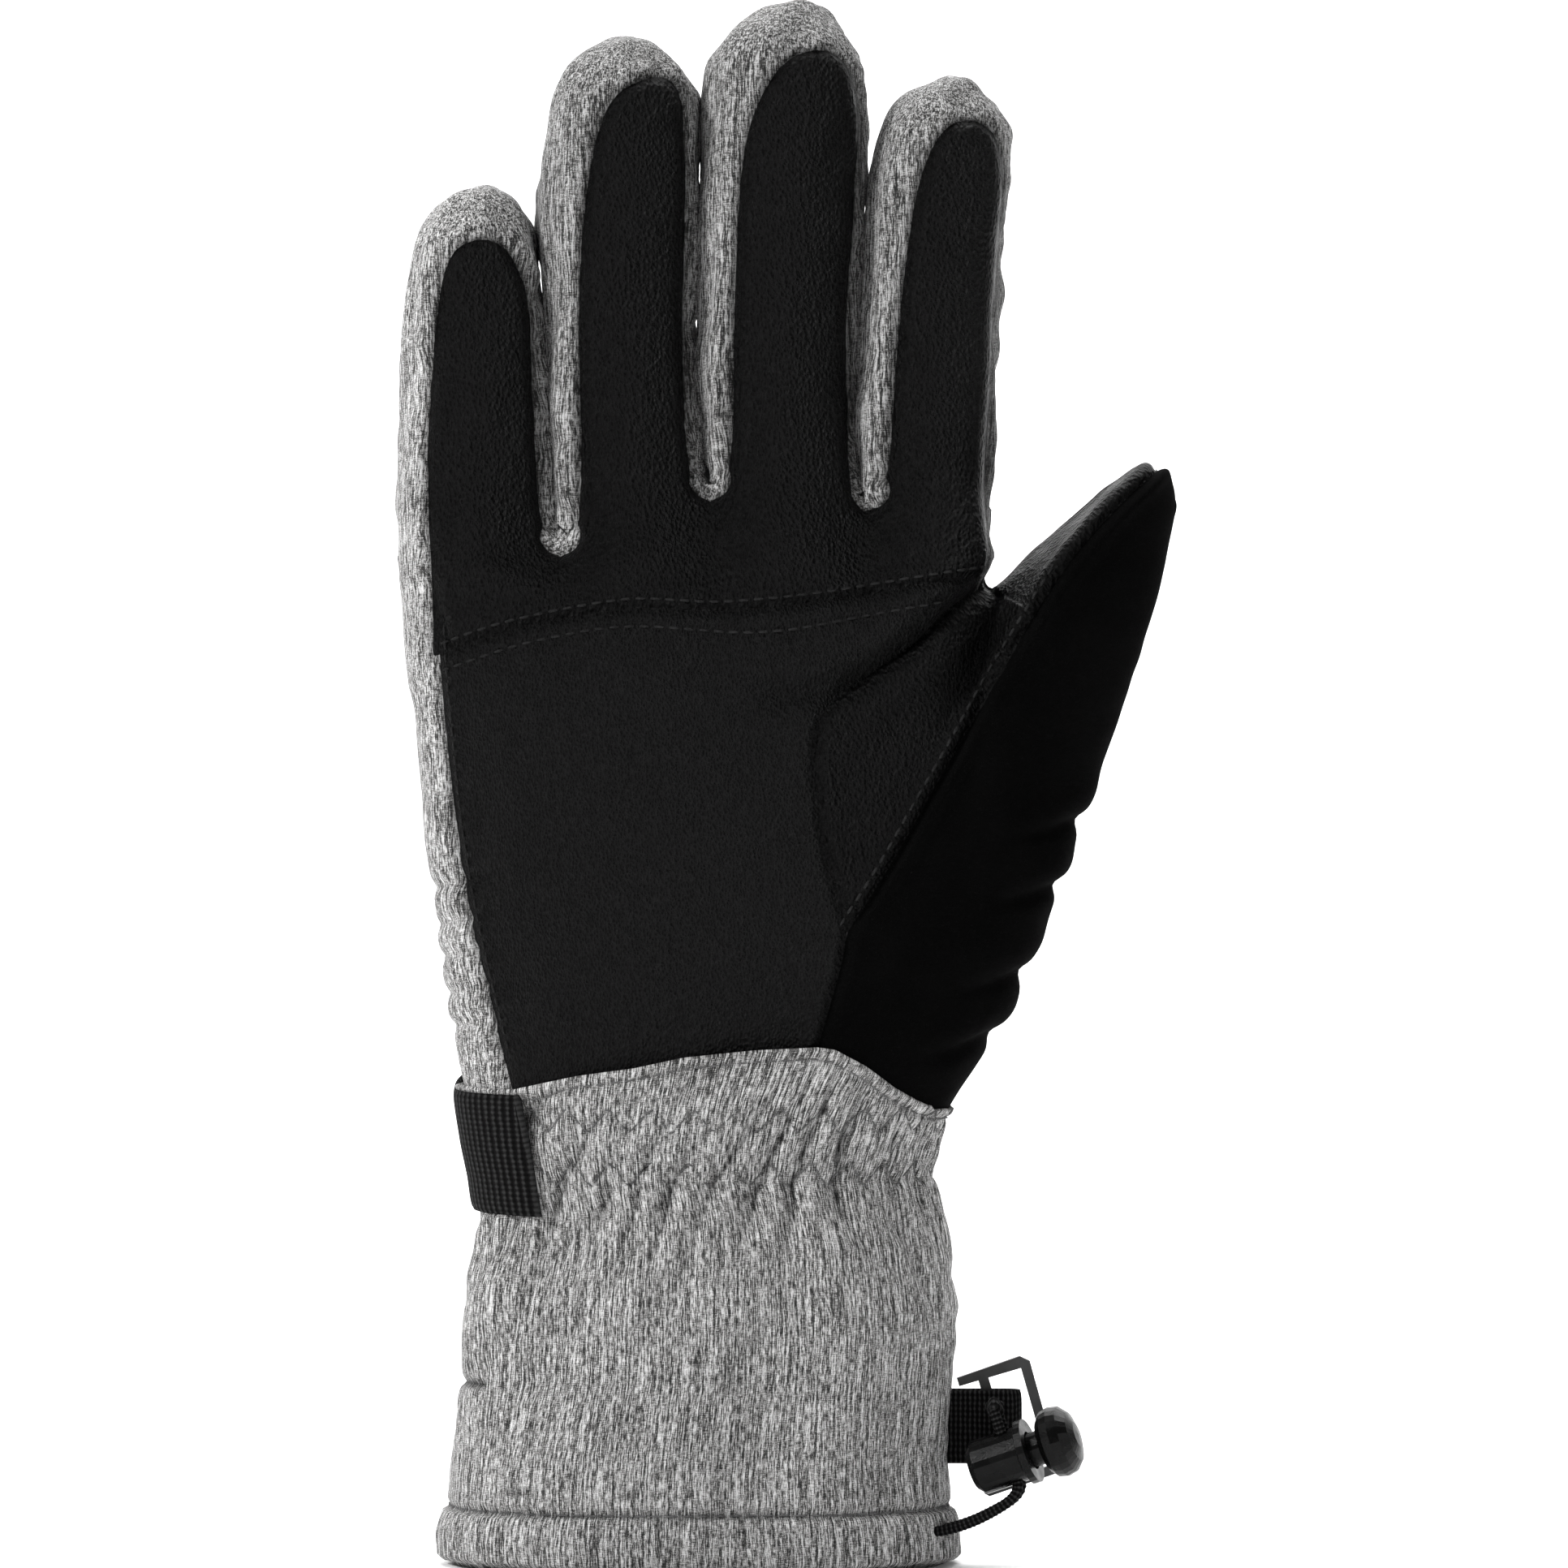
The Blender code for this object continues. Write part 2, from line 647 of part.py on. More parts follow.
strap_tab_joint = pivot("strap_tab_joint", Vector((STRAP_TAB_FROM, tab_y, 0.0860)), wrist)
for name, material, low, high in (
    ("wrist_strap", "webbing", -0.09, STRAP_TAB_FROM - GAP),
    ("strap_tab", "webbing", STRAP_TAB_FROM, 0.0200),
    ("strap_hook_patch", "lining", STRAP_TAB_FROM + 0.0040, 0.0160),
):
    patch = name == "strap_hook_patch"
    outer = STRAP_OFF + STRAP_THICK + (STRAP_THICK if name == "strap_tab" else 0)
    inner = outer - STRAP_THICK + (GAP if name == "strap_tab" else 0)
    rig = strap_tab_joint if name == "strap_tab" else wrist
    shift = WRIST - (Vector((STRAP_TAB_FROM, tab_y, 0.0860)) if name == "strap_tab" else WRIST)
    rings = [[point + shift for point in ring] for ring in hand_rings(-outer, 0.0500, 0.1300)]
    holes = [[point + shift for point in ring] for ring in hand_rings(-inner, 0.0400, 0.1400)]
    piece = add(name, loft(name, rings), rig, material)
    boolean(piece, add("cut_" + name + "_inside", loft("cut_" + name, holes), rig))
    boolean(piece, strap_band, "INTERSECT")
    side = add(
        "cut_" + name + "_ends",
        box("cut_" + name + "_ends", (low - WRIST.x, -0.06 if low < -0.05 else 0.0, -0.06), (high - WRIST.x, 0.06, 0.06)),
        wrist,
    )
    boolean(piece, side, "INTERSECT")
    if name == "wrist_strap":
        boolean(piece, strap_right)

# ---- fingers and thumb: two segments each, every one a leather face, a back with side walls and a liner


def tip_rings(rings_below, middle, half, front, back, base, top, sides, inset):
    """Closes a finger with a dome."""
    for angle in (30, 56, 78):
        c, s = math.cos(math.radians(angle)), math.sin(math.radians(angle))
        height = base + (top - inset - base) * s
        ring = section(
            height,
            middle - (half - inset) * c,
            middle + (half - inset) * c,
            (front + inset) * c,
            (back - inset) * c,
            sides,
        )
        rings_below.append(ring)
    return rings_below


def split_outlines(split, slope):
    """The region behind a finger's leather face and the region before its side walls."""
    near, far = split - slope * FAR, split + slope * FAR
    behind = ((-FAR, near), (FAR, far), (FAR, FAR), (-FAR, FAR))
    before = ((-FAR, -FAR), (FAR, -FAR), (FAR, far + GAP), (-FAR, near + GAP))
    return behind, before


def inner_outlines(split):
    """The same for the thumb, whose leather is its inner side."""
    behind = ((split, -FAR), (FAR, -FAR), (FAR, FAR), (split, FAR))
    before = ((-FAR, -FAR), (split + GAP, -FAR), (split + GAP, FAR), (-FAR, FAR))
    return behind, before


def segment(name, rig, rings_for, radius, outlines, face_material, back_material):
    """rings_for(inset, reach) gives the segment's rings; the cutters reach past its open ends."""
    behind, before = (
        add("cut_" + name + "_split", prism("cut_split", outline, "XY", -FAR, FAR), rig) for outline in outlines
    )
    foot = add("cut_" + name + "_foot", saddle("cut_foot", radius), rig)
    inside = add("cut_" + name + "_inside", loft("cut_inside", rings_for(SHELL_WALL, 0.01)), rig)
    hollow = add(
        "cut_" + name + "_hollow", loft("cut_hollow", rings_for(SHELL_WALL + GAP + LINER_WALL, 0.01)), rig
    )
    face = add(name + "_face", loft(name, rings_for(0, 0)), rig, face_material)
    back = add(name + "_back", loft(name, rings_for(0, 0)), rig, back_material)
    liner = add(name + "_liner", loft(name, rings_for(SHELL_WALL + GAP, 0)), rig, "lining")
    for piece, cuts in (
        (face, (behind, inside, foot)),
        (back, (before, inside, foot)),
        (liner, (hollow, foot)),
    ):
        for cutter in cuts:
            boolean(piece, cutter)


for finger, (root_x, tip_x, half, depth, under, knuckle, tip) in FINGERS.items():
    root_z = under + GAP + depth
    middle_z = root_z + knuckle
    lean = (tip_x - root_x) / (tip - under)
    root = pivot(finger + "_root_joint", Vector((root_x, 0, root_z)), wrist)
    middle_x = root_x + lean * knuckle
    middle = pivot(finger + "_middle_joint", Vector((middle_x, 0, middle_z)), root)
    stub = knuckle - depth - GAP

    def near_rings(inset, reach):
        made = []
        for height in (-depth - reach, stub + reach):
            at = lean * height
            made.append(
                section(height, at - half, at + half, -depth, depth, FINGER_SIDES, inset)
            )
        return made

    def far_rings(inset, reach):
        top = tip - middle_z
        base = top - 0.0150
        made = [
            section(height, lean * height - half, lean * height + half, -depth, depth, FINGER_SIDES, inset)
            for height in (-depth - reach, base)
        ]
        return tip_rings(made, lean * base, half, -depth, depth, base, top, FINGER_SIDES, inset)

    segment(finger + "_near", root, near_rings, depth, split_outlines(FACE_SPLIT, FACE_SLOPE), "leather", "heather")
    segment(finger + "_far", middle, far_rings, depth, split_outlines(FACE_SPLIT, FACE_SLOPE), "leather", "heather")

thumb_hinge = pivot(
    "thumb_joint", THUMB_ROOT + thumb_turn @ Vector((0, 0, THUMB_KNUCKLE)), thumb_root, thumb_turn
)
# Thumb sections up its own line, from each hinge: height, inner side, outer side, half depth.
THUMB_MIDDLE_DEPTH = 0.0143
THUMB_STUB = THUMB_KNUCKLE - THUMB_MIDDLE_DEPTH - GAP
THUMB_NEAR = (
    (-THUMB_DEPTH, THUMB_SIDE, 0.0172, THUMB_DEPTH),
    (0.0040, THUMB_SIDE, 0.0176, THUMB_DEPTH),
    (THUMB_STUB, -0.0168, 0.0160, THUMB_DEPTH - 0.0008),
)
THUMB_FAR = (
    (-THUMB_MIDDLE_DEPTH, -0.0168, 0.0170, THUMB_MIDDLE_DEPTH),
    (0.0010, -0.0156, 0.0160, THUMB_MIDDLE_DEPTH),
    (0.0120, -0.0122, 0.0126, 0.0134),
)
THUMB_RIDGE = -0.0052  # seam between the inner leather and the outer softshell


def thumb_rings(table, inset, below, above):
    """The sections of a table, carried straight on past its ends by these lengths."""
    rows = list(table)
    if below:
        rows.insert(0, (rows[0][0] - below, *rows[0][1:]))
    if above:
        rows.append((rows[-1][0] + above, *rows[-1][1:]))
    return [section(height, left, right, -deep, deep, FINGER_SIDES, inset) for height, left, right, deep in rows]


def thumb_near(inset, reach):
    return thumb_rings(THUMB_NEAR, inset, reach, reach)


def thumb_far(inset, reach):
    made = thumb_rings(THUMB_FAR, inset, reach, 0)
    return tip_rings(made, -0.0004, 0.0100, -0.0120, 0.0120, 0.0200, THUMB_TIP - THUMB_KNUCKLE, FINGER_SIDES, inset)


segment("thumb_near", thumb_root, thumb_near, THUMB_DEPTH, inner_outlines(THUMB_RIDGE), "leather", "softshell")
segment("thumb_far", thumb_hinge, thumb_far, THUMB_MIDDLE_DEPTH, inner_outlines(THUMB_RIDGE), "leather", "softshell")

for obj in glove.objects:
    if obj.type == "MESH":
        obj.data.shade_smooth()
bpy.context.view_layer.update()
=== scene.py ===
# Ski glove for the right hand: padded palm and fingers, gathered cuff, strap, drawcord and lock.
# Patterns are in millimetres and the scene in metres. Hem on the floor, fingers +Z, palm -Y, thumb +X.
import json
import math

import bpy
import numpy as np
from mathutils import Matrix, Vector
from mathutils.bvhtree import BVHTree


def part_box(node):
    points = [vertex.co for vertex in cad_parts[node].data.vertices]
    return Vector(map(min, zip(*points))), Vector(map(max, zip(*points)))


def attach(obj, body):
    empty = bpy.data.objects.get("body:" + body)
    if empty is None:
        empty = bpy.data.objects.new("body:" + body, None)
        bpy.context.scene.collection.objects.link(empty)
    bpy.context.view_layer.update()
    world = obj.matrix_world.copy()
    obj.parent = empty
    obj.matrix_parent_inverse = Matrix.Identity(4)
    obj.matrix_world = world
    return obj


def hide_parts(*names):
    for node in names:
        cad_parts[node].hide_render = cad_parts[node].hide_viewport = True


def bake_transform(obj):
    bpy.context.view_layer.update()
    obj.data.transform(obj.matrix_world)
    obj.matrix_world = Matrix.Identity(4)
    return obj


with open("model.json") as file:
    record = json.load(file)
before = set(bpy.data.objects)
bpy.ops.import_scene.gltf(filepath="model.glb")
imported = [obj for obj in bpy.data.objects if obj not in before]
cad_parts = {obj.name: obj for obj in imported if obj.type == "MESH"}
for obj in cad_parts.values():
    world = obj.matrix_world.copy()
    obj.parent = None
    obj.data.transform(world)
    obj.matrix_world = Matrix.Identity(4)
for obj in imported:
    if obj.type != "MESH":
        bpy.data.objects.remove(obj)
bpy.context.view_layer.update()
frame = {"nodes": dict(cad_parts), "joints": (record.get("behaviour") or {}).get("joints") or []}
mm = 0.001
joints = {j["name"]: j for j in frame["joints"]}
fingerNames = ["little", "ring", "middle", "index"]

# camera first
cameraSettings = {"lens": 200, "away": 1.653, "height": 0.1477}
cameraData = bpy.data.cameras.new("camera")
cameraData.lens = cameraSettings["lens"]
cameraData.sensor_width = 36
cameraData.clip_end = 20
camera = bpy.data.objects.new("camera", cameraData)
camera.location = (0, -cameraSettings["away"], cameraSettings["height"])
camera.rotation_euler = (math.radians(90), 0, 0)
bpy.context.scene.collection.objects.link(camera)
bpy.context.scene.camera = camera


# small helpers
def ease(t):
    t = np.clip(t, 0, 1)
    return t * t * (3 - 2 * t)


# smooth bump, 1 in the middle
def hump(distance, width):
    return np.exp(-(distance / width) ** 2)


def column(table, at, n):
    table = np.array(table, float)
    return np.interp(at, table[:, 0], table[:, n])


# smooth noise, about -1 to 1
def waves(points, size, seed, count=26):
    rng = np.random.default_rng(seed)
    total = np.zeros(len(points))
    for _ in range(count):
        way = rng.normal(size=3)
        way *= 2 * math.pi / (np.linalg.norm(way) * size * rng.uniform(0.7, 1.4))
        total += np.sin(points @ way + rng.uniform(0, 6.28))
    return total / math.sqrt(count)


# distance in the front plane to an open line of (x, z) points, and how far along it
def lineDistance(points, line):
    line = np.array(line, float)
    best = np.full(len(points), 1e9)
    where = np.zeros(len(points))
    steps = np.linalg.norm(np.diff(line, axis=0), axis=1)
    done = 0.0
    for a, b, step in zip(line, line[1:], steps):
        if step == 0:
            continue
        d = b - a
        t = np.clip(((points - a) @ d) / (d @ d), 0, 1)
        away = np.hypot(*(points - a - t[:, None] * d).T)
        nearer = away < best
        best = np.where(nearer, away, best)
        where = np.where(nearer, done + t * step, where)
        done += step
    return best, where / done


# signed distance to a closed outline, positive inside
def inside(points, outline):
    outline = np.array(outline, float)
    away, _ = lineDistance(points, np.vstack([outline, outline[:1]]))
    x, z = points.T
    crossed = np.zeros(len(points), bool)
    for (ax, az), (bx, bz) in zip(outline, np.roll(outline, -1, axis=0)):
        if az == bz:
            continue
        hit = (az > z) != (bz > z)
        crossed ^= hit & (x < ax + (z - az) * (bx - ax) / (bz - az))
    return np.where(crossed, away, -away)


# corner cutting, ends kept
def rounded(line, times=2):
    line = np.array(line, float)
    for _ in range(times):
        cut = np.empty((2 * len(line) - 2, line.shape[1]))
        cut[0::2] = line[:-1] * 0.75 + line[1:] * 0.25
        cut[1::2] = line[:-1] * 0.25 + line[1:] * 0.75
        line = np.vstack([line[:1], cut, line[-1:]])
    return line


# length run along a line up to each of its points
def runLength(line):
    return np.concatenate([[0], np.cumsum(np.linalg.norm(np.diff(line, axis=0), axis=1))])


# sides and two end caps of a tube made of rings of points
def tubeFaces(rings, sides, start=0):
    faces = []
    for r in range(rings - 1):
        for c in range(sides):
            a, b = start + r * sides + c, start + r * sides + (c + 1) % sides
            faces.append((a, b, b + sides, a + sides))
    faces.append(tuple(start + c for c in range(sides - 1, -1, -1)))
    faces.append(tuple(start + (rings - 1) * sides + c for c in range(sides)))
    return faces


# pattern: fingers, each measured from its root joint: height, left, right
fingerPattern = {
    "little": {
        "edges": [(-12, -13.7, 16.9), (2, -14.3, 16.3), (14.3, -13.4, 15.3), (26.7, -13.2, 14.4),
                  (39, -12.5, 13.3), (45.1, -11.9, 12.7), (51.3, -10.2, 11.6), (55.5, -7.6, 9.9),
                  (58.6, -4.2, 7.6), (60.2, -0.6, 5.0)],
        "tip": (60.8, 2.3), "depth": 13.2,
    },
    "ring": {
        "edges": [(-18, -11.5, 16.7), (-6.6, -12.0, 16.2), (5.7, -13.0, 14.2), (18.1, -14.0, 13.8),
                  (30.4, -15.0, 14.0), (42.7, -16.3, 14.5), (55, -15.6, 14.9), (61.2, -14.7, 14.9),
                  (67.3, -13.5, 14.4), (73.5, -11.0, 12.4), (77.4, -7.6, 9.4), (79.6, -3.0, 5.4)],
        "tip": (80.3, 1.4), "depth": 13.8,
    },
    "middle": {
        "edges": [(-14, -13.1, 16.0), (-3.6, -14.3, 14.8), (8.7, -15.0, 14.8), (21, -15.4, 15.0),
                  (33.3, -15.4, 15.5), (45.7, -15.3, 16.4), (58, -15.1, 17.1), (64.1, -14.8, 17.2),
                  (70.3, -13.8, 16.2), (76.5, -11.0, 13.4), (80.6, -6.6, 10.4), (82.9, -1.8, 7.6)],
        "tip": (83.6, 3.4), "depth": 14.0,
    },
    "index": {
        "edges": [(-8, -12.8, 11.2), (2.8, -13.7, 11.7), (15.1, -13.8, 12.3), (27.4, -13.6, 12.7),
                  (39.7, -13.2, 13.6), (52.1, -12.6, 14.8), (58.2, -11.8, 15.0), (64.4, -10.6, 14.6),
                  (69.4, -8.2, 13.2), (73.0, -4.8, 11.0), (75.0, -1.0, 8.2)],
        "tip": (75.6, 4.0), "depth": 13.6,
    },
}
fingerShape = {"dome": 15.0, "domePower": 2.3, "squareness": 0.84, "rootSwell": 0.06}
fingerRoot = {n: [v / mm for v in joints[n + "_root_bend"]["pos_m"]] for n in fingerNames}
fingerMiddle = {n: [v / mm for v in joints[n + "_middle_bend"]["pos_m"]] for n in fingerNames}

# pattern: palm and thumb, rows by height in the front plane; depth is front and back
palmPattern = {
    "foot": 80.0, "split": 184.0,  # where the tube starts inside the cuff, and where thumb and palm part
    "left": [(78, -58.0), (86, -60.0), (91.6, -60.9), (97.8, -62.0), (104, -63.3), (110, -64.4),
             (116, -65.4), (122, -66.8), (128.6, -66.9), (135, -67.9), (147, -69.0), (159, -70.0),
             (166, -70.9), (172, -71.9), (184, -72.8), (190, -72.9)],
    "right": [(78, 27.6), (86.4, 31.2), (98, 38.9), (104.5, 42.4), (111, 45.4), (119, 49.0),
              (127, 52.0), (138.4, 55.5), (147, 58.7), (152.5, 60.8), (160, 63.2), (167, 65.6)],
    "rightTop": 166.8,
    "depth": [(78, 21.5, 22.0), (91, 23.2, 24.2), (104, 24.0, 25.6), (116, 24.0, 26.4),
              (129, 24.0, 26.4), (141, 23.8, 25.8), (153, 23.0, 24.8), (166, 21.8, 23.4),
              (178, 20.4, 21.6), (184, 19.6, 20.8)],
    "crotches": [(-42.3, 193.2), (-14.1, 203.4), (15.1, 201.2)],
    "outer": [(-72.9, 190.6), (39.0, 199.4)],  # little finger's and index finger's outer corners
    "thumbEdge": 38.6, "rows": 14, "partsFrom": 0.66,
    # how thick the hand is at the split, as a share of its depth, from the little finger to the index
    "knuckles": [.46, .72, .83, .87, .88, .93, .96, .97, .95, .97, .98, .98, .94, .95, .91, .80],
}
thumbJoint = joints["thumb_bend"]
thumbAcross = np.array([thumbJoint["axis"][0], thumbJoint["axis"][2]])  # in the front plane, x and z
thumbAlong = np.array([-thumbAcross[1], thumbAcross[0]])
thumbHinge = np.array([thumbJoint["pos_m"][0], thumbJoint["pos_m"][2]]) / mm
thumbPattern = {
    # height along the thumb from its hinge, left, right, ridge seam, front, back
    "sections": [(0.3, -15.7, 16.6, -6.0, 17.5, 15.5), (6, -13.6, 14.9, -6.1, 17.0, 15.0),
                 (12, -12.2, 13.2, -6.2, 16.0, 14.0), (18, -10.5, 11.2, -5.6, 14.6, 12.6),
                 (23.5, -8.9, 9.2, -5.0, 12.8, 10.8), (28.5, -7.3, 7.3, -3.9, 10.6, 8.8),
                 (32.5, -5.6, 5.4, -3.0, 8.2, 6.6), (35.0, -4.2, 3.8, -2.2, 5.8, 4.6),
                 (36.4, -2.6, 2.2, -1.4, 3.2, 2.6)],
    "tip": (37.0, -0.4),
    "middle": -1.0, "bendReach": 0.016,
}


def thumbPoint(up, across, y):
    flat = thumbHinge + thumbAlong * up + thumbAcross * across
    return (flat[0], y, flat[1])


# twelve points from the front left corner, over the front to the right, and round the back
def thumbRing(up, left, right, ridge, front, back):
    mid = thumbPattern["middle"]
    left, right = min(left, ridge - 0.8), max(right, ridge + 0.8)
    toLeft, toRight = left - ridge, right - ridge
    row = [(toLeft * 0.86, -front * 0.42), (toLeft * 0.44, -front * 0.84), (toRight * 0.04, -front),
           (toRight * 0.46, -front * 0.83), (toRight * 0.87, -front * 0.44), (toRight, 0),
           (toRight * 0.88, back * 0.52), (toRight * 0.5, back * 0.9), (toRight * 0.06, back),
           (toLeft * 0.46, back * 0.9), (toLeft * 0.88, back * 0.5), (toLeft, 0)]
    return [thumbPoint(up, ridge + across, mid + y) for across, y in row]


def fingerRing(name, up, corners=None):
    p = fingerPattern[name]
    root = fingerRoot[name]
    left, right = column(p["edges"], up, 1), column(p["edges"], up, 2)
    centre, half = (left + right) / 2, (right - left) / 2
    dome, power, square = fingerShape["dome"], fingerShape["domePower"], fingerShape["squareness"]
    over = max(0.0, (up - (p["tip"][0] - dome)) / dome)
    deep = p["depth"] * max(0.16, (1 - min(1, over) ** power)) ** (1 / power)
    deep *= 1.0 + fingerShape["rootSwell"] * ease(1 - up / 30)
    row = []
    for angle in (215, 243, 270, 297, 325, 0, 35, 63, 90, 117, 145, 180):
        c, s = math.cos(math.radians(angle)), math.sin(math.radians(angle))
        x = centre + half * math.copysign(abs(c) ** square, c)
        row.append((root[0] + x, deep * math.copysign(abs(s) ** square, s), root[2] + up))
    return row


# the coarse hand: one tube that parts into thumb and palm, and the palm into four fingers
def buildCage():
    p = palmPattern
    points, faces, parts = [], [], []

    def add(point):
        points.append(tuple(float(v) for v in point))
        return len(points) - 1

    def skin(low, high, part):
        n = len(low)
        for i in range(n):
            faces.append((low[i], low[(i + 1) % n], high[(i + 1) % n], high[i]))
            parts.append(part)

    shares = [0.0, 0.24, 0.5, 0.76, 1.0]
    topX = []
    marks = [p["outer"][0][0]] + [c[0] for c in p["crotches"]] + [p["thumbEdge"]]
    for a, b in zip(marks, marks[1:]):
        topX += [a + (b - a) * s for s in shares[:4]]
    topX.append(p["thumbEdge"])
    topX[0] = p["outer"][0][0] + 2.4
    ring = thumbRing(*thumbPattern["sections"][0])
    topFront = [(x, None, p["split"]) for x in topX[:16]] + ring[0:5]
    topBack = [(x, None, p["split"]) for x in topX[:16]] + [ring[10], ring[9], ring[8], ring[7], ring[6]]
    topLeft, topRight = column(p["left"], p["split"], 1), ring[5][0]

    rows = []
    for r in range(p["rows"]):
        s = r / (p["rows"] - 1)
        zLeft = p["foot"] + (p["split"] - p["foot"]) * s
        zRight = p["foot"] - 1 + (p["rightTop"] - p["foot"] + 1) * s
        left, right = column(p["left"], zLeft, 1), column(p["right"], zRight, 1)
        front, back = column(p["depth"], zLeft, 1), column(p["depth"], zLeft, 2)
        parting = ease((s - p["partsFrom"]) / (1 - p["partsFrom"]))
        row = {"front": [], "back": []}
        for side, top, sign, deep in (("front", topFront, -1, front), ("back", topBack, 1, back)):
            for c in range(21):
                even = 0.02 + 0.96 * c / 20
                share = even + ((top[c][0] - topLeft) / (topRight - topLeft) - even) * s
                x = left + (right - left) * share
                drop = 0 if c <= 16 else (zRight - zLeft) * (c - 16) / 4
                seam = p["split"] + (0 if c <= 16 else (p["rightTop"] - p["split"]) * (c - 16) / 4)
                z = zLeft + drop + (top[c][2] - seam) * s
                plain = deep * max(0.05, 1 - abs(2 * share - 1) ** 2.5) ** 0.4
                ownTop = deep * p["knuckles"][c] if c < 16 else abs(top[c][1])
                row[side].append(add((x, sign * (plain + (ownTop - plain) * parting), z)))
        row["right"] = add((right, -1.0 * s, zRight))
        row["left"] = add((left, 0, zLeft))
        rows.append(row)

    def loop(row):
        return row["front"] + [row["right"]] + row["back"][::-1] + [row["left"]]

    for low, high in zip(rows, rows[1:]):
        skin(loop(low), loop(high), 0)

    top = rows[-1]
    crotch = add(ring[11])  # bottom of the fold between thumb and index finger
    thumbLoop = top["front"][16:] + [top["right"]] + top["back"][16:][::-1] + [crotch]
    low = thumbLoop
    for section in thumbPattern["sections"][1:]:
        high = [add(v) for v in thumbRing(*section)]
        skin(low, high, 5)
        low = high
    tip = add(thumbPoint(*thumbPattern["tip"], thumbPattern["middle"]))
    for i in range(12):
        faces.append((low[i], low[(i + 1) % 12], tip))
        parts.append(5)

    # upper palm, up to the crotches
    low = top["front"][:17] + [crotch] + top["back"][:17][::-1] + [top["left"]]
    zTop = []
    ends = [p["outer"][0]] + p["crotches"] + [p["outer"][1]]
    for a, b in zip(ends, ends[1:]):
        zTop += [a[1] + (b[1] - a[1]) * s for s in shares[:4]]
    zTop.append(ends[-1][1])
    rings = [fingerRing(n, zTop[4 * i + 2] - fingerRoot[n][2]) for i, n in enumerate(fingerNames)]
    firstFront, firstBack = [], []
    for i in range(4):
        firstFront += [rings[i][k] for k in (0, 1, 2, 3)]
        firstBack += [rings[i][k] for k in (10, 9, 8, 7)]
    firstFront.append(rings[3][4])
    firstBack.append(rings[3][6])
    for i, (x, z) in enumerate(p["crotches"]):
        firstFront[4 * i + 4] = (x, -9.5, z)
        firstBack[4 * i + 4] = (x, 9.5, z)
    firstFront = [(v[0], v[1] * 1.08, z) for v, z in zip(firstFront, zTop)]
    firstBack = [(v[0], v[1] * 1.08, z) for v, z in zip(firstBack, zTop)]
    sides = [(rings[0][11][0], 0, p["outer"][0][1]), (rings[3][5][0], 0, p["outer"][1][1])]

    def halfway(lower, upper, lift=0.0):
        return add(np.array(points[lower]) * 0.5 + np.array(upper) * 0.5 + np.array([0, lift, 0]))

    middleRow = [halfway(top["front"][k], firstFront[k], -0.6) for k in range(17)]
    right = halfway(crotch, sides[1])
    backRow = [halfway(top["back"][k], firstBack[k], 0.6) for k in range(17)]
    left = halfway(top["left"], sides[0])
    high = middleRow + [right] + backRow[::-1] + [left]
    skin(low, high, 0)
    low = high
    frontTop = [add(v) for v in firstFront]
    backTop = [add(v) for v in firstBack]
    rightTop, leftTop = add(sides[1]), add(sides[0])
    high = frontTop + [rightTop] + backTop[::-1] + [leftTop]
    skin(low, high, 0)
    folds = [add((x, 0, z + 2.5)) for x, z in p["crotches"]]

    for i, name in enumerate(fingerNames):
        pattern = fingerPattern[name]
        rightSide = rightTop if i == 3 else folds[i]
        leftSide = leftTop if i == 0 else folds[i - 1]
        low = frontTop[4 * i:4 * i + 5] + [rightSide] + backTop[4 * i:4 * i + 5][::-1] + [leftSide]
        start = zTop[4 * i + 2] - fingerRoot[name][2]
        slope = [points[v][2] - zTop[4 * i + 2] for v in low]
        end = pattern["tip"][0]
        ups = [start + (end - 14 - start) * k / 7 for k in range(1, 8)]
        ups += [end - 9.5, end - 5.4, end - 2.4, end - 0.7]
        for k, up in enumerate(ups):
            ringPoints = fingerRing(name, up)
            tilt = max(0, 1 - (k + 1) / 3)
            high = [add((v[0], v[1], v[2] + slope[n] * tilt)) for n, v in enumerate(ringPoints)]
            skin(low, high, i + 1)
            low = high
        root = fingerRoot[name]
        tip = add((root[0] + pattern["tip"][1], 0, root[2] + pattern["tip"][0]))
        for n in range(12):
            faces.append((low[n], low[(n + 1) % 12], tip))
            parts.append(i + 1)
    return np.array(points), faces, np.array(parts)


def subdivided(points, faces, parts, levels):
    mesh = bpy.data.meshes.new("cage")
    mesh.from_pydata([tuple(p) for p in points], [], faces)
    mesh.polygons.foreach_set("material_index", parts.astype(np.int32))
    obj = bpy.data.objects.new("cage", mesh)
    bpy.context.scene.collection.objects.link(obj)
    sub = obj.modifiers.new("smooth", "SUBSURF")
    sub.levels = sub.render_levels = levels
    sub.boundary_smooth = "PRESERVE_CORNERS"
    for _ in range(6):
        mesh.materials.append(None)
    graph = bpy.context.evaluated_depsgraph_get()
    fine = bpy.data.meshes.new_from_object(obj.evaluated_get(graph))
    out = np.empty(len(fine.vertices) * 3)
    fine.vertices.foreach_get("co", out)
    loops = np.empty(len(fine.loops), int)
    fine.loops.foreach_get("vertex_index", loops)
    index = np.empty(len(fine.polygons), int)
    fine.polygons.foreach_get("material_index", index)
    bpy.data.objects.remove(obj)
    bpy.data.meshes.remove(mesh)
    bpy.data.meshes.remove(fine)
    return out.reshape(-1, 3), loops.reshape(-1, 4), index


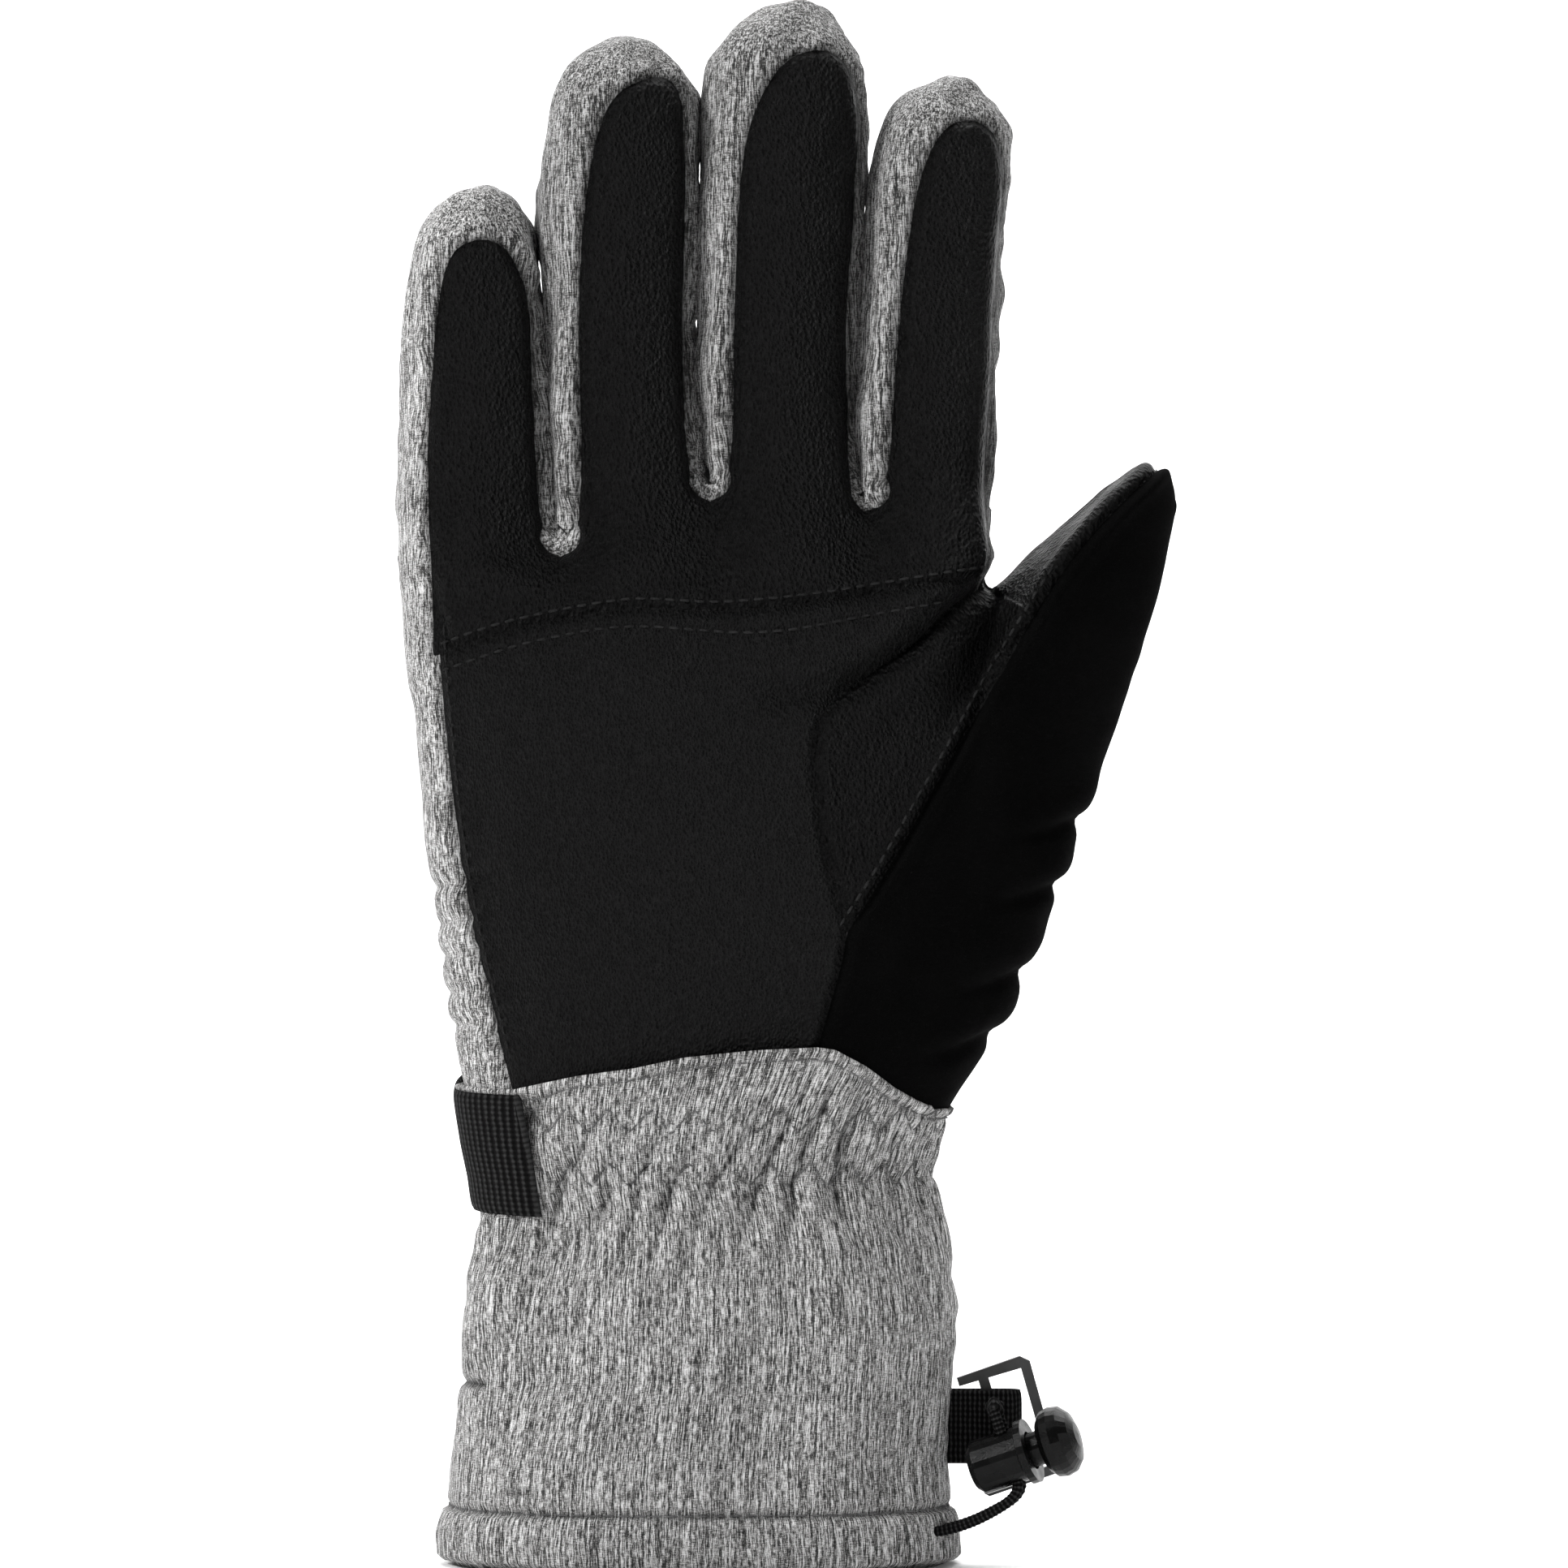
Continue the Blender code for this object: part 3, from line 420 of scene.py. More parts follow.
cagePoints, cageFaces, cageParts = buildCage()
target = cagePoints.copy()
for _ in range(3):  # pull the smooth surface back out onto the pattern
    smooth, _, _ = subdivided(cagePoints, cageFaces, cageParts, 2)
    cagePoints += 0.75 * (target - smooth[:len(target)])
fullPoints, quads, quadParts = subdivided(cagePoints, cageFaces, cageParts, 3)
print("hand surface:", len(quads), "quads", fullPoints.min(0), fullPoints.max(0))


# panels: outlines and seam lines in the front plane (x, z)
fingerFaces = {  # leather face of each finger: left edge up, over the top, right edge down
    "little": [(-67, 150), (-66.6, 185), (-67.2, 198.5), (-67.7, 211.3), (-66.6, 227.5), (-65.2, 239.5),
               (-63.8, 245.8), (-61.2, 249.3), (-56.7, 250.7), (-52.5, 249.2), (-49.7, 245.6),
               (-47.9, 240.5), (-47.1, 233), (-46.9, 219.8), (-46.4, 210.2), (-45.6, 201),
               (-44.6, 194.8), (-42.3, 190.8), (-38, 186), (-38, 150)],
    "ring": [(-46, 150), (-46, 187), (-42.3, 190.8), (-39.4, 195.5), (-38.5, 204.1), (-38.7, 216.4),
             (-39, 230.1), (-38.4, 250.6), (-37.2, 260.7), (-35.2, 271), (-32.4, 276.8), (-28.4, 280),
             (-23.2, 281.6), (-19.8, 279.8), (-18.3, 275), (-18, 260.7), (-18.6, 240.2), (-18.5, 222.5),
             (-18.1, 213.3), (-17.2, 205.8), (-14.1, 201.1), (-10, 197), (-10, 150)],
    "middle": [(-18, 150), (-18, 197), (-14.1, 201.1), (-11.2, 205), (-10, 213.3), (-9.8, 225),
               (-9.2, 250.6), (-8, 265.8), (-5.6, 274.8), (-1.8, 281.8), (2.4, 285.4), (7.2, 286.5),
               (11.2, 285), (13.8, 281), (15, 275.5), (15, 267.8), (13.6, 255.6), (12.5, 240.2),
               (12.4, 219.8), (12.5, 210.2), (13.2, 203), (15.2, 198.9), (19, 195), (19, 150)],
    "index": [(11, 150), (11, 195), (15.2, 198.9), (18.3, 202.4), (19.7, 210.2), (20.3, 219.8),
              (21.5, 235.2), (22.9, 247), (24.4, 257.4), (26.8, 265.7), (30, 271), (34, 273.2),
              (38.2, 272.7), (40.8, 270), (41.9, 264), (41.5, 250.6), (40.2, 235.2), (39.4, 219.8),
              (38.9, 208.2), (38.7, 196.4), (38.6, 150)],
}
palmLines = {
    "overlap": [(-75, 168.5), (-64.3, 172.4), (-54.3, 176), (-44.1, 178.4), (-34, 180.2), (-27, 181),
                (-16, 180.2), (-8.4, 180.3), (4.9, 181.6), (17.9, 183.7), (27, 185.2), (38.2, 187)],
    "secondRow": [(-64.4, 169), (-57, 171.6), (-49.3, 174), (-41, 175.8), (-34, 177), (-26.4, 177.4),
                  (-18.6, 176.8), (-8.4, 176), (0, 176.4), (8, 177.8), (16, 179.4), (24, 180.8),
                  (30, 182)],
    "littleSide": [(-66.6, 185), (-65.6, 178), (-65.2, 170), (-63.8, 155.2), (-62.6, 142.5),
                   (-60.2, 127.1), (-56.9, 111.7), (-53.2, 97), (-50, 86), (-48, 76)],
    "thumbSide": [(38.6, 184.4), (31, 179.3), (24.1, 174), (18.5, 170.2), (12.9, 166.5), (8.6, 163),
                  (6.3, 159), (5.8, 153), (6, 146), (7.2, 137.4), (9.6, 128.3), (11.9, 119.8)],
    "softEdge": [(11.9, 119.8), (11, 114.4), (8.9, 106.7), (6.4, 98.1), (5, 92), (2, 76)],
    "ridge": [(11.9, 119.8), (19, 130.7), (25.9, 142.8), (32.9, 154.9), (39.7, 167.2), (46.1, 178),
              (52.4, 187.9), (58.9, 195.7), (64.3, 201.4), (68.6, 205.2), (70.4, 207.2)],
    "crease": [(38.6, 184.4), (31, 179.3), (24.1, 174), (12.9, 166.5), (4, 163.8), (-6, 165.4),
               (-18, 170)],
    "backThumb": [(6, 76), (10, 95), (17, 120), (26, 145), (35, 167), (38.6, 184.4), (40, 192)],
}
lines = {name: rounded(line) for name, line in palmLines.items()}
faceOutlines = {name: rounded(line, 1) for name, line in fingerFaces.items()}

lowerPalm = np.vstack([lines["littleSide"][::-1], lines["overlap"][(lines["overlap"][:, 0] > -65)],
                       lines["thumbSide"], lines["softEdge"]])
aboveOverlap = np.vstack([lines["overlap"], [(40, 230), (-78, 230)]])
gusset = np.vstack([lines["thumbSide"][::-1], [(39.5, 190), (48, 204), (66, 216), (74, 212)],
                    lines["ridge"][::-1]])
softFront = np.vstack([lines["softEdge"][::-1], lines["ridge"], [(78, 212), (90, 150), (60, 76)]])
softBack = np.vstack([lines["backThumb"], [(60, 215), (90, 190), (90, 76)]])


# splits triangles along the zero line of a field given for each point
def cut(points, triangles, marks, field, snap=0.12):
    field = np.where(np.abs(field) < snap, 0.0, field)
    sign = np.sign(field).astype(int)
    corner = sign[triangles]
    mixed = (corner.min(1) < 0) & (corner.max(1) > 0)
    keep = triangles[~mixed]
    made, extra, newTriangles, newMarks = {}, [], [], []
    count = len(points)

    def between(a, b):
        key = (a, b) if a < b else (b, a)
        if key not in made:
            t = field[key[0]] / (field[key[0]] - field[key[1]])
            row = points[key[0]] * (1 - t) + points[key[1]] * t
            same = points[key[0]][3] == points[key[1]][3]
            row[3] = points[key[0]][3] if same else 0  # stays a whole number
            made[key] = count + len(extra)
            extra.append(row)
        return made[key]

    for tri, mark in zip(triangles[mixed].tolist(), marks[mixed]):
        s = [sign[v] for v in tri]
        if 0 in s:
            k = s.index(0)
            a, b, c = tri[k], tri[(k + 1) % 3], tri[(k + 2) % 3]
            m = between(b, c)
            pieces = [(a, b, m), (a, m, c)]
        else:
            k = next(i for i in range(3) if s[i] != s[(i + 1) % 3] and s[i] != s[(i + 2) % 3])
            a, b, c = tri[k], tri[(k + 1) % 3], tri[(k + 2) % 3]
            m, n = between(a, b), between(a, c)
            pieces = [(a, m, n), (m, b, c), (m, c, n)]
        newTriangles += pieces
        newMarks += [mark] * len(pieces)
    if extra:
        points = np.vstack([points, extra])
        keep = np.vstack([keep, newTriangles])
        marks = np.concatenate([marks[~mixed], newMarks])
        field = np.concatenate([field, np.zeros(len(extra))])
    values = field[keep]
    biggest = np.abs(values).argmax(1)
    return points, keep, marks, values[np.arange(len(keep)), biggest] > 0


# x, z and radius of the cloth end where two fingers meet
crotches = [(-42.2, 194.6, 3.3), (-13.9, 205.2, 3.5), (16.3, 203.2, 3.3)]


# signed distances, positive on the named panel
def seamFields(points):
    flat, depth, part = points[:, [0, 2]], points[:, 1], points[:, 3].astype(int)
    faces = np.stack([inside(flat, faceOutlines[n]) for n in fingerNames])
    best = faces.max(0)
    for i in range(4):
        best = np.where(part == i + 1, faces[i], best)
    toFront = 1.5 - depth
    onPalm = part != 5
    upper = np.where(onPalm, np.minimum(best, inside(flat, aboveOverlap)), -50)
    upper = np.where((part > 0) & onPalm, best, upper)
    for x, z, radius in crotches:
        upper = np.minimum(upper, np.hypot(flat[:, 0] - x, flat[:, 1] - z) - radius)
    lower = np.where(part == 0, inside(flat, lowerPalm), -50)
    leather = inside(flat, gusset)
    soft = np.where(depth < -1, inside(flat, softFront), inside(flat, softBack))
    soft = np.where((part == 5) | (part == 0), soft, -50)
    soft = np.where(part == 5, np.maximum(soft, depth + 1), soft)
    leather = np.where((part == 5) | (part == 0), leather, -50)
    fields = {
        "upper": np.minimum(upper, toFront),
        "lower": np.minimum(lower, toFront),
        "gusset": np.minimum(leather, toFront),
        "soft": soft,
    }
    back = np.full(len(points), -50.0)
    for i, name in enumerate(fingerNames):
        root, tip = fingerRoot[name], fingerPattern[name]["tip"]
        below = root[2] + tip[0] - 4.5 - flat[:, 1] - 0.05 * (flat[:, 0] - root[0] - tip[1]) ** 2
        own = np.minimum(depth - 5.5, below)
        back = np.where(part == i + 1, own, back)
    knuckles = 190.5 + 7 * np.cos((flat[:, 0] + 4) / 42)
    palmBack = np.minimum(depth - 5.5, flat[:, 1] - knuckles)
    fields["back"] = np.where(part == 0, np.where(onPalm, palmBack, -50), np.where(part == 5, -50, back))
    return fields


rest = np.column_stack([fullPoints, np.zeros(len(fullPoints))])
for part in (1, 2, 3, 4, 5):
    rest[np.unique(quads[quadParts == part]), 3] = part
rest[np.unique(quads[quadParts == 0]), 3] = 0
triangles = np.vstack([quads[:, [0, 1, 2]], quads[:, [0, 2, 3]]])
panels = np.full(len(triangles), 0)
panelNames = ["heather", "upper", "lower", "gusset", "soft", "back"]

for number, name in enumerate(panelNames[1:], 1):
    field = seamFields(rest)[name]
    rest, triangles, panels, positive = cut(rest, triangles, panels, field)
    panels = np.where(positive & (panels == 0), number, panels)

# body regions: each finger in two pieces, the thumb in one
bendPlan = {
    "little": {"start": 191.6, "reach": 9.5}, "ring": {"start": 201.8, "reach": 9.5},
    "middle": {"start": 201.8, "reach": 9.5}, "index": {"start": 199.8, "reach": 9.5},
}
regions = np.zeros(len(triangles), int)  # 0 hand, 1-4 finger roots, 5-8 finger tips, 9 thumb


def regionCut(field, allowed, number):
    global rest, triangles, panels, regions
    both = panels * 100 + regions
    rest, triangles, both, positive = cut(rest, triangles, both, field)
    panels, regions = both // 100, both % 100
    regions = np.where(positive & np.isin(regions, allowed), number, regions)


for i, name in enumerate(fingerNames):
    own = rest[:, 3] == i + 1
    regionCut(np.where(own, rest[:, 2] - bendPlan[name]["start"], -0.2), [0], i + 1)
    own = rest[:, 3] == i + 1
    above = rest[:, 2] - (fingerMiddle[name][2] - bendPlan[name]["reach"])
    regionCut(np.where(own, above, -5), [i + 1], i + 5)
up = (rest[:, [0, 2]] - thumbHinge) @ thumbAlong
regionCut(np.where(rest[:, 3] == 5, up - 0.6, -0.2), [0], 9)
print("cut into panels:", len(triangles), "triangles")


# relief: seam valleys, padding between seams, folds
def pointNormals(points, tris):
    a, b, c = points[tris[:, 0]], points[tris[:, 1]], points[tris[:, 2]]
    face = np.cross(b - a, c - a)
    total = np.zeros_like(points)
    for k in range(3):
        np.add.at(total, tris[:, k], face)
    return total / np.maximum(np.linalg.norm(total, axis=1), 1e-12)[:, None]


relief = {
    "seamDepth": 0.75, "seamWidth": 0.9, "lip": 0.32,
    "creaseDepth": 2.0, "creaseWidth": 2.6, "creaseLip": 0.8, "ridgeHeight": 0.9,
    "sideFolds": [(60, 142.3), (56, 130.0), (49, 113.3), (42, 100.9)], "sideFoldDepth": 1.5,
    "sideFoldRise": 0.6,
    "bandFolds": [128.2, 121.0, 114.6, 107.5, 101.0], "bandFoldDepth": 0.9,
    "softness": 0.2, "wear": 0.07, "tuck": 1.5, "shellThick": 1.7,
    "crotchPleats": 1.0, "wallFill": 1.5, "pucker": 0.30, "fingerFolds": 0.45,
    "tips": [(-56.6, 275), (-28.3, 285), (8.5, 293), (39, 281)], "tipSeam": 0.5,
}
cuffPattern = {
    "around": 336, "rows": 150, "pleats": 29, "squareness": 0.86, "waist": 79.0,
    "left": [(0, -64.2), (2, -65.0), (5.4, -65.1), (10.8, -64.2), (17.7, -64.0), (24, -63.1),
             (30, -62.1), (36, -61.0), (42.4, -60.9), (48.5, -60.7), (54.7, -59.8), (60.8, -58.6),
             (67, -57.8), (73.2, -58.6), (79.3, -59.9), (85.5, -60.9), (92, -61.8), (98, -62.8)],
    "right": [(0, 31.4), (2, 32.3), (5.4, 32.2), (10.8, 31.4), (20, 31.2), (36, 31.5), (42.4, 31.8),
              (48.5, 31.7), (54.7, 30.7), (60.8, 29.9), (67, 28.1), (73.2, 26.8), (79.3, 28.6),
              (85.5, 31.2), (88.5, 32.8), (98, 39.5)],
    "depth": [(0, 28.6), (2.5, 29.8), (11, 30.0), (24, 30.0), (42, 29.0), (60, 26.8), (73, 24.4),
              (79, 24.2), (84, 24.2), (90, 24.5), (98, 25.0)],
    "topFront": [(-62, 90.5), (-51, 90.0), (-39, 92.7), (-28.7, 94.2), (-20.1, 96.2), (-8.4, 97.6),
                 (2.8, 98.1), (6.2, 97.6), (12.9, 94.6), (20.6, 90.4), (28.1, 87.3), (32, 86.4)],
    "topBack": [(-62, 90.5), (-45, 94), (-16, 96.5), (10, 94), (32, 86.4)],
    "elasticRows": [84.6, 74.6], "zig": 2.3, "zigDepth": 0.5, "zigWidth": 0.8, "elasticPull": 0.45,
    "hem": 10.8, "hemStand": 0.9, "clear": 0.75, "overHand": 17,
    "lean": [(-50, 0.042), (0, 0.0378), (12, 0.0042), (30, -0.0336)],  # pleats lean out below the waist
    "gather": 3.1, "gatherFade": [(46, 0), (58, 0.2), (66, 0.7), (73, 1), (84, 0.95), (90, 0.4), (97, 0.05)],
    "coarse": 1.5, "coarseFade": [(20, 0), (40, 0.3), (58, 1), (70, 0.7), (80, 0)],
    "coarseShade": [(20, 0), (40, 0.3), (58, 0.8), (70, 0.6), (80, 0)],
    "drape": 1.2, "drapeFade": [(4, 0.3), (20, 1), (60, 1), (90, 0.3)],
    "hemProfile": [(0.4, -1.3), (0.9, -0.2), (2.2, 0.9), (8.6, 1.0), (10.2, 0.6), (10.9, -0.75),
                   (11.4, -0.75), (12.6, 0)],
    "hemPucker": 0.22, "hemFade": [(1, 0.3), (4, 0.7), (9, 1), (11, 1), (15, 0)],
    "turnIn": [(3.6, 12.0), (3.6, 4.0), (3.0, 1.2), (1.8, 0.35), (0.8, 0.12)],  # hem, inwards and height
    "edgeRoll": [(0.25, 0.35), (0.7, 0.35), (1.1, -0.2), (1.5, -1.4)],  # top edge, inwards and lift
    "topstitch": 1.9, "topstitchDepth": 0.55, "edgeRise": 0.25, "dartDepth": 1.1, "ripple": 0.16,
    "dart": (-55.2, 34.8),  # short seam at the little finger side: where it ends and its height
    "lining": [(2.0, 3.9), (8, 4.2), (20, 4.4), (32, 4.4), (44, 4.4), (56, 4.6), (66, 4.8), (76, 5.0),
               (86, 5.4), (94, 6.0)],  # height, and how far inside the cuff
}
surface = rest[:, :3].copy()
normals = pointNormals(surface, triangles)
flat, depth, part = surface[:, [0, 2]], surface[:, 1], rest[:, 3]
fields = seamFields(rest)
nearSeam = np.minimum.reduce([np.abs(fields[n]) for n in panelNames[1:]])
push = -relief["seamDepth"] * hump(nearSeam, relief["seamWidth"])
push += relief["lip"] * hump(nearSeam - 2.2, 1.4)
isFront = ease((2 - depth) / 4)
panelAt = np.zeros(len(surface), int)  # panel that each point belongs to
for number in range(len(panelNames)):
    panelAt[triangles[panels == number].ravel()] = number
away, share = lineDistance(flat, lines["crease"])
fade = (1 - ease((share - 0.35) / 0.65)) * isFront * (part != 5)
push -= relief["creaseDepth"] * hump(away, relief["creaseWidth"]) * fade
push += relief["creaseLip"] * hump(away - 6, 3.5) * fade
away, share = lineDistance(flat, lines["ridge"])
push += relief["ridgeHeight"] * hump(away - 1.6, 1.3) * isFront * ease(share * 5)
for x, z in relief["sideFolds"]:
    along = flat[:, 0] - x
    line = z + 0.28 * along + 0.9 * np.sin(along / 5)
    here = ease((along + 22) / 18) * (part != 4)
    push -= relief["sideFoldDepth"] * hump(flat[:, 1] - line, 1.5) * here
    push += relief["sideFoldRise"] * hump(flat[:, 1] - line - 4.5, 2.6) * here
for z in relief["bandFolds"]:
    line = z + 0.25 * (flat[:, 0] + 66)
    here = ease((-50 - flat[:, 0]) / 12) * (part == 0)
    push -= relief["bandFoldDepth"] * hump(flat[:, 1] - line, 1.3) * here
for x, z, _ in crotches:  # cloth bunched where two fingers meet
    acrossTip, above = flat[:, 0] - x, flat[:, 1] - z
    near = np.exp(-((acrossTip / 4.5) ** 2 + ((above - 2) / 5) ** 2)) * isFront * (panelAt == 0)
    push += relief["crotchPleats"] * (np.abs(np.sin(np.arctan2(above + 9, acrossTip) * 9)) - 0.6) * near
for x, z in relief["tips"]:  # short seam over each finger end
    beside = flat[:, 0] - x - 0.06 * (flat[:, 1] - z)
    here = ease((flat[:, 1] - z + 22) / 4) * isFront * (panelAt == 0)
    push -= relief["tipSeam"] * hump(beside, 0.55) * here
onCloth = panelAt == 0
for x, z, _ in crotches:  # neighbouring walls fill out until they touch
    beside = flat[:, 0] - x - 0.03 * (flat[:, 1] - z)
    here = onCloth * np.abs(normals[:, 0]) * (depth < 10)
    here = here * np.exp(-(beside / 5) ** 4)
    push += relief["wallFill"] * hump(flat[:, 1] - z - 15, 13) * here
# seams pucker the cloth, and long soft folds run up the fingers
here = hump(nearSeam - 1.8, 2.2) * onCloth
push += relief["pucker"] * waves(surface * [1, 1, 0.7], size=5, seed=21) * here
push += relief["fingerFolds"] * waves(surface * [1.5, 1.5, 0.35], size=12, seed=22) * onCloth * (part > 0)
push += relief["softness"] * waves(surface, size=17, seed=3) + relief["wear"] * waves(surface, size=7, seed=4)
cuffTop = np.where(depth < 0, column(cuffPattern["topFront"], flat[:, 0], 1),
                   column(cuffPattern["topBack"], flat[:, 0], 1))
push -= relief["tuck"] * ease((cuffTop - 0.6 - flat[:, 1]) / 3)  # narrower inside the cuff
surface += normals * push[:, None]
normals = pointNormals(surface, triangles)
# painted shade: the cloth colour is darkened in seam valleys, in deep creases and on the finger walls that
# face each other
paintedShadeBetweenFingers = ease((rest[:, 2] - 186) / 26) * ease((flat[:, 0] + 61) / 7) * ease((12 - depth) / 6)
foldShade = hump(nearSeam, 0.8) * 0.7 + np.clip(-push - 1.0, 0, 1) * 0.4
foldShade = np.clip(foldShade + 0.34 * paintedShadeBetweenFingers, 0, 1)
print("relief done")


# mesh object in metres; rest keeps the coordinates that the finishes are laid out on
def newObject(name, points, faces, normalsToKeep=None, rest=None, smooth=True, shade=None):
    mesh = bpy.data.meshes.new(name)
    mesh.from_pydata([tuple(p) for p in np.asarray(points) * mm], [], [tuple(f) for f in faces])
    mesh.polygons.foreach_set("use_smooth", [smooth] * len(mesh.polygons))
    laid = mesh.attributes.new("laid", "FLOAT_VECTOR", "POINT")
    flatLaid = np.asarray(points if rest is None else rest) * mm
    laid.data.foreach_set("vector", flatLaid.astype(np.float32).ravel())
    if shade is not None:  # painted shade: how much each point's colour is darkened for the shade in folds, seams and hollows
        fold = mesh.attributes.new("fold", "FLOAT", "POINT")
        fold.data.foreach_set("value", np.asarray(shade, np.float32).ravel())
    if normalsToKeep is not None:
        mesh.normals_split_custom_set_from_vertices([tuple(n) for n in normalsToKeep])
    mesh.update()
    obj = bpy.data.objects.new(name, mesh)
    bpy.context.scene.collection.objects.link(obj)
    return obj


def takePart(name, chosen, offset=0.0):
    faces = triangles[chosen]
    used, index = np.unique(faces, return_inverse=True)
    index = index.reshape(-1, 3)
    points = surface[used] + normals[used] * offset
    kept = None if offset else normals[used]
    return newObject(name, points, index, kept, rest=rest[used, :3], shade=foldShade[used])


def finish(obj, material):
    obj.data.materials.clear()
    obj.data.materials.append(material)
    return obj


# shorthand for building a node material
class Nodes:
    def __init__(self, name):
        self.material = bpy.data.materials.new(name)
        self.material.use_nodes = True
        self.tree = self.material.node_tree
        self.shader = self.tree.nodes["Principled BSDF"]

    def add(self, kind, **settings):
        node = self.tree.nodes.new(kind)
        for key, value in settings.items():
            setattr(node, key, value)
        return node

    def link(self, a, b):
        self.tree.links.new(a, b)

    def laid(self, scale, turn=(0, 0, 0), source="laid"):
        if source == "object":
            out = self.add("ShaderNodeTexCoord").outputs["Object"]
        else:
            out = self.add("ShaderNodeAttribute", attribute_name=source).outputs["Vector"]
        mapping = self.add("ShaderNodeMapping")
        mapping.inputs["Scale"].default_value = scale
        mapping.inputs["Rotation"].default_value = turn
        self.link(out, mapping.inputs["Vector"])
        return mapping.outputs["Vector"]

    def noise(self, vector, scale=1.0, detail=2.0, rough=0.5, distort=0.0):
        node = self.add("ShaderNodeTexNoise")
        node.inputs["Scale"].default_value = scale
        node.inputs["Detail"].default_value = detail
        node.inputs["Roughness"].default_value = rough
        node.inputs["Distortion"].default_value = distort
        self.link(vector, node.inputs["Vector"])
        return node.outputs["Fac"]

    def cells(self, vector, scale=1.0, feature="F1"):
        node = self.add("ShaderNodeTexVoronoi", feature=feature)
        node.inputs["Scale"].default_value = scale
        self.link(vector, node.inputs["Vector"])
        return node.outputs["Distance"]

    def math(self, operation, a, b, clamp=False):
        node = self.add("ShaderNodeMath", operation=operation, use_clamp=clamp)
        for socket, value in zip(node.inputs, (a, b)):
            if isinstance(value, (int, float)):
                socket.default_value = value
            else:
                self.link(value, socket)
        return node.outputs[0]

    def ramp(self, value, stops):
        node = self.add("ShaderNodeValToRGB")
        ramp = node.color_ramp
        while len(ramp.elements) < len(stops):
            ramp.elements.new(0.5)
        for element, (at, colour) in zip(ramp.elements, stops):
            element.position = at
            element.color = (*colour, 1)
        self.link(value, node.inputs["Fac"])
        return node.outputs["Color"]

    def bump(self, height, distance, strength=1.0, under=None):
        node = self.add("ShaderNodeBump")
        node.inputs["Distance"].default_value = distance
        node.inputs["Strength"].default_value = strength
        self.link(height, node.inputs["Height"])
        if under is not None:
            self.link(under, node.inputs["Normal"])
        return node.outputs["Normal"]

    # rough is a number or an output
    def done(self, colour, rough, shine, normal=None):
        self.link(colour, self.shader.inputs["Base Color"])
        if isinstance(rough, float):
            self.shader.inputs["Roughness"].default_value = rough
        else:
            self.link(rough, self.shader.inputs["Roughness"])
        if normal is not None:
            self.link(normal, self.shader.inputs["Normal"])
        self.shader.inputs["Specular IOR Level"].default_value = shine
        return self.material


def grey(level, warm=0.0):
    return (level * (1 + warm), level, level * (1 - warm))


shine = {"heather": 0.25, "leather": 0.075, "softshell": 0.02, "plastic": 0.12, "tape": 0.05}


def heatherCloth(name, tone, contrast):
    n = Nodes(name)
    streak = n.noise(n.laid((5000, 5000, 560)), detail=2.0, rough=0.55)
    slub = n.noise(n.laid((2300, 2300, 90)), detail=1.5, rough=0.5)
    speck = n.noise(n.laid((8200, 8200, 8200)), detail=1.0, rough=0.6)
    weft = n.noise(n.laid((900, 900, 6000)), detail=1.5, rough=0.6)
    total = n.math("ADD", n.math("MULTIPLY", streak, 0.38), n.math("MULTIPLY", slub, 0.24))
    total = n.math("ADD", total, n.math("MULTIPLY", speck, 0.20))
    total = n.math("ADD", total, n.math("MULTIPLY", weft, 0.18))
    middle, spread = 0.5, 0.075 / contrast
    shades = [(-1.5, 0.020, 0.02), (-0.55, 0.105, 0.02), (0.15, 0.27, 0.015), (1.0, 0.52, 0.01),
              (1.9, 0.80, 0.0)]
    colour = n.ramp(total, [(middle + at * spread, grey(level * tone, warm)) for at, level, warm in shades])
    # painted shade: the fold attribute darkens the cloth colour, down to a fifth, in creases, seams and
    # between the fingers
    fold = n.add("ShaderNodeAttribute", attribute_name="fold").outputs["Fac"]
    paintedShadeTint = n.ramp(fold, [(0, grey(1.0)), (1, grey(0.2))])
    both = n.add("ShaderNodeVectorMath", operation="MULTIPLY")
    n.link(colour, both.inputs[0])
    n.link(paintedShadeTint, both.inputs[1])
    return n.done(both.outputs[0], 0.93, shine["heather"], n.bump(total, 0.00025, 0.5))


def leatherHide(name, level, cell, depth, rough):
    n = Nodes(name)
    base = n.laid((1, 1, 1))
    bend = n.noise(base, scale=260, detail=2)
    stretch = n.laid((1.0, 1.0, 0.72), turn=(0, 0.35, 0))
    pores = n.cells(stretch, scale=cell)
    fine = n.noise(stretch, scale=cell * 2.1, detail=3, rough=0.6)
    slanted = n.laid((1, 1, 0.5), turn=(0, 0.6, 0))
    wrinkles = n.noise(slanted, scale=cell * 0.42, detail=3, rough=0.6, distort=0.6)
    height = n.math("ADD", n.math("MULTIPLY", pores, 0.55), n.math("MULTIPLY", fine, 0.35))
    height = n.math("ADD", height, n.math("MULTIPLY", wrinkles, 0.6))
    colour = n.ramp(height, [(0.25, grey(level * 0.3)), (0.62, grey(level)), (0.95, grey(level * 2.2))])
    gloss = n.ramp(bend, [(0.3, grey(rough - 0.06)), (0.7, grey(rough + 0.08))])
    return n.done(colour, gloss, shine["leather"], n.bump(height, depth, 0.8))


def softshellCloth(name, level):
    n = Nodes(name)
    weave = n.noise(n.laid((1, 1, 1)), scale=3200, detail=1.5)
    drift = n.noise(n.laid((1, 1, 1)), scale=60, detail=2)
    colour = n.ramp(n.math("ADD", n.math("MULTIPLY", weave, 0.6), n.math("MULTIPLY", drift, 0.4)),
                    [(0.35, grey(level * 0.6)), (0.65, grey(level * 1.5))])
    return n.done(colour, 0.95, shine["softshell"], n.bump(weave, 0.0003, 0.5))


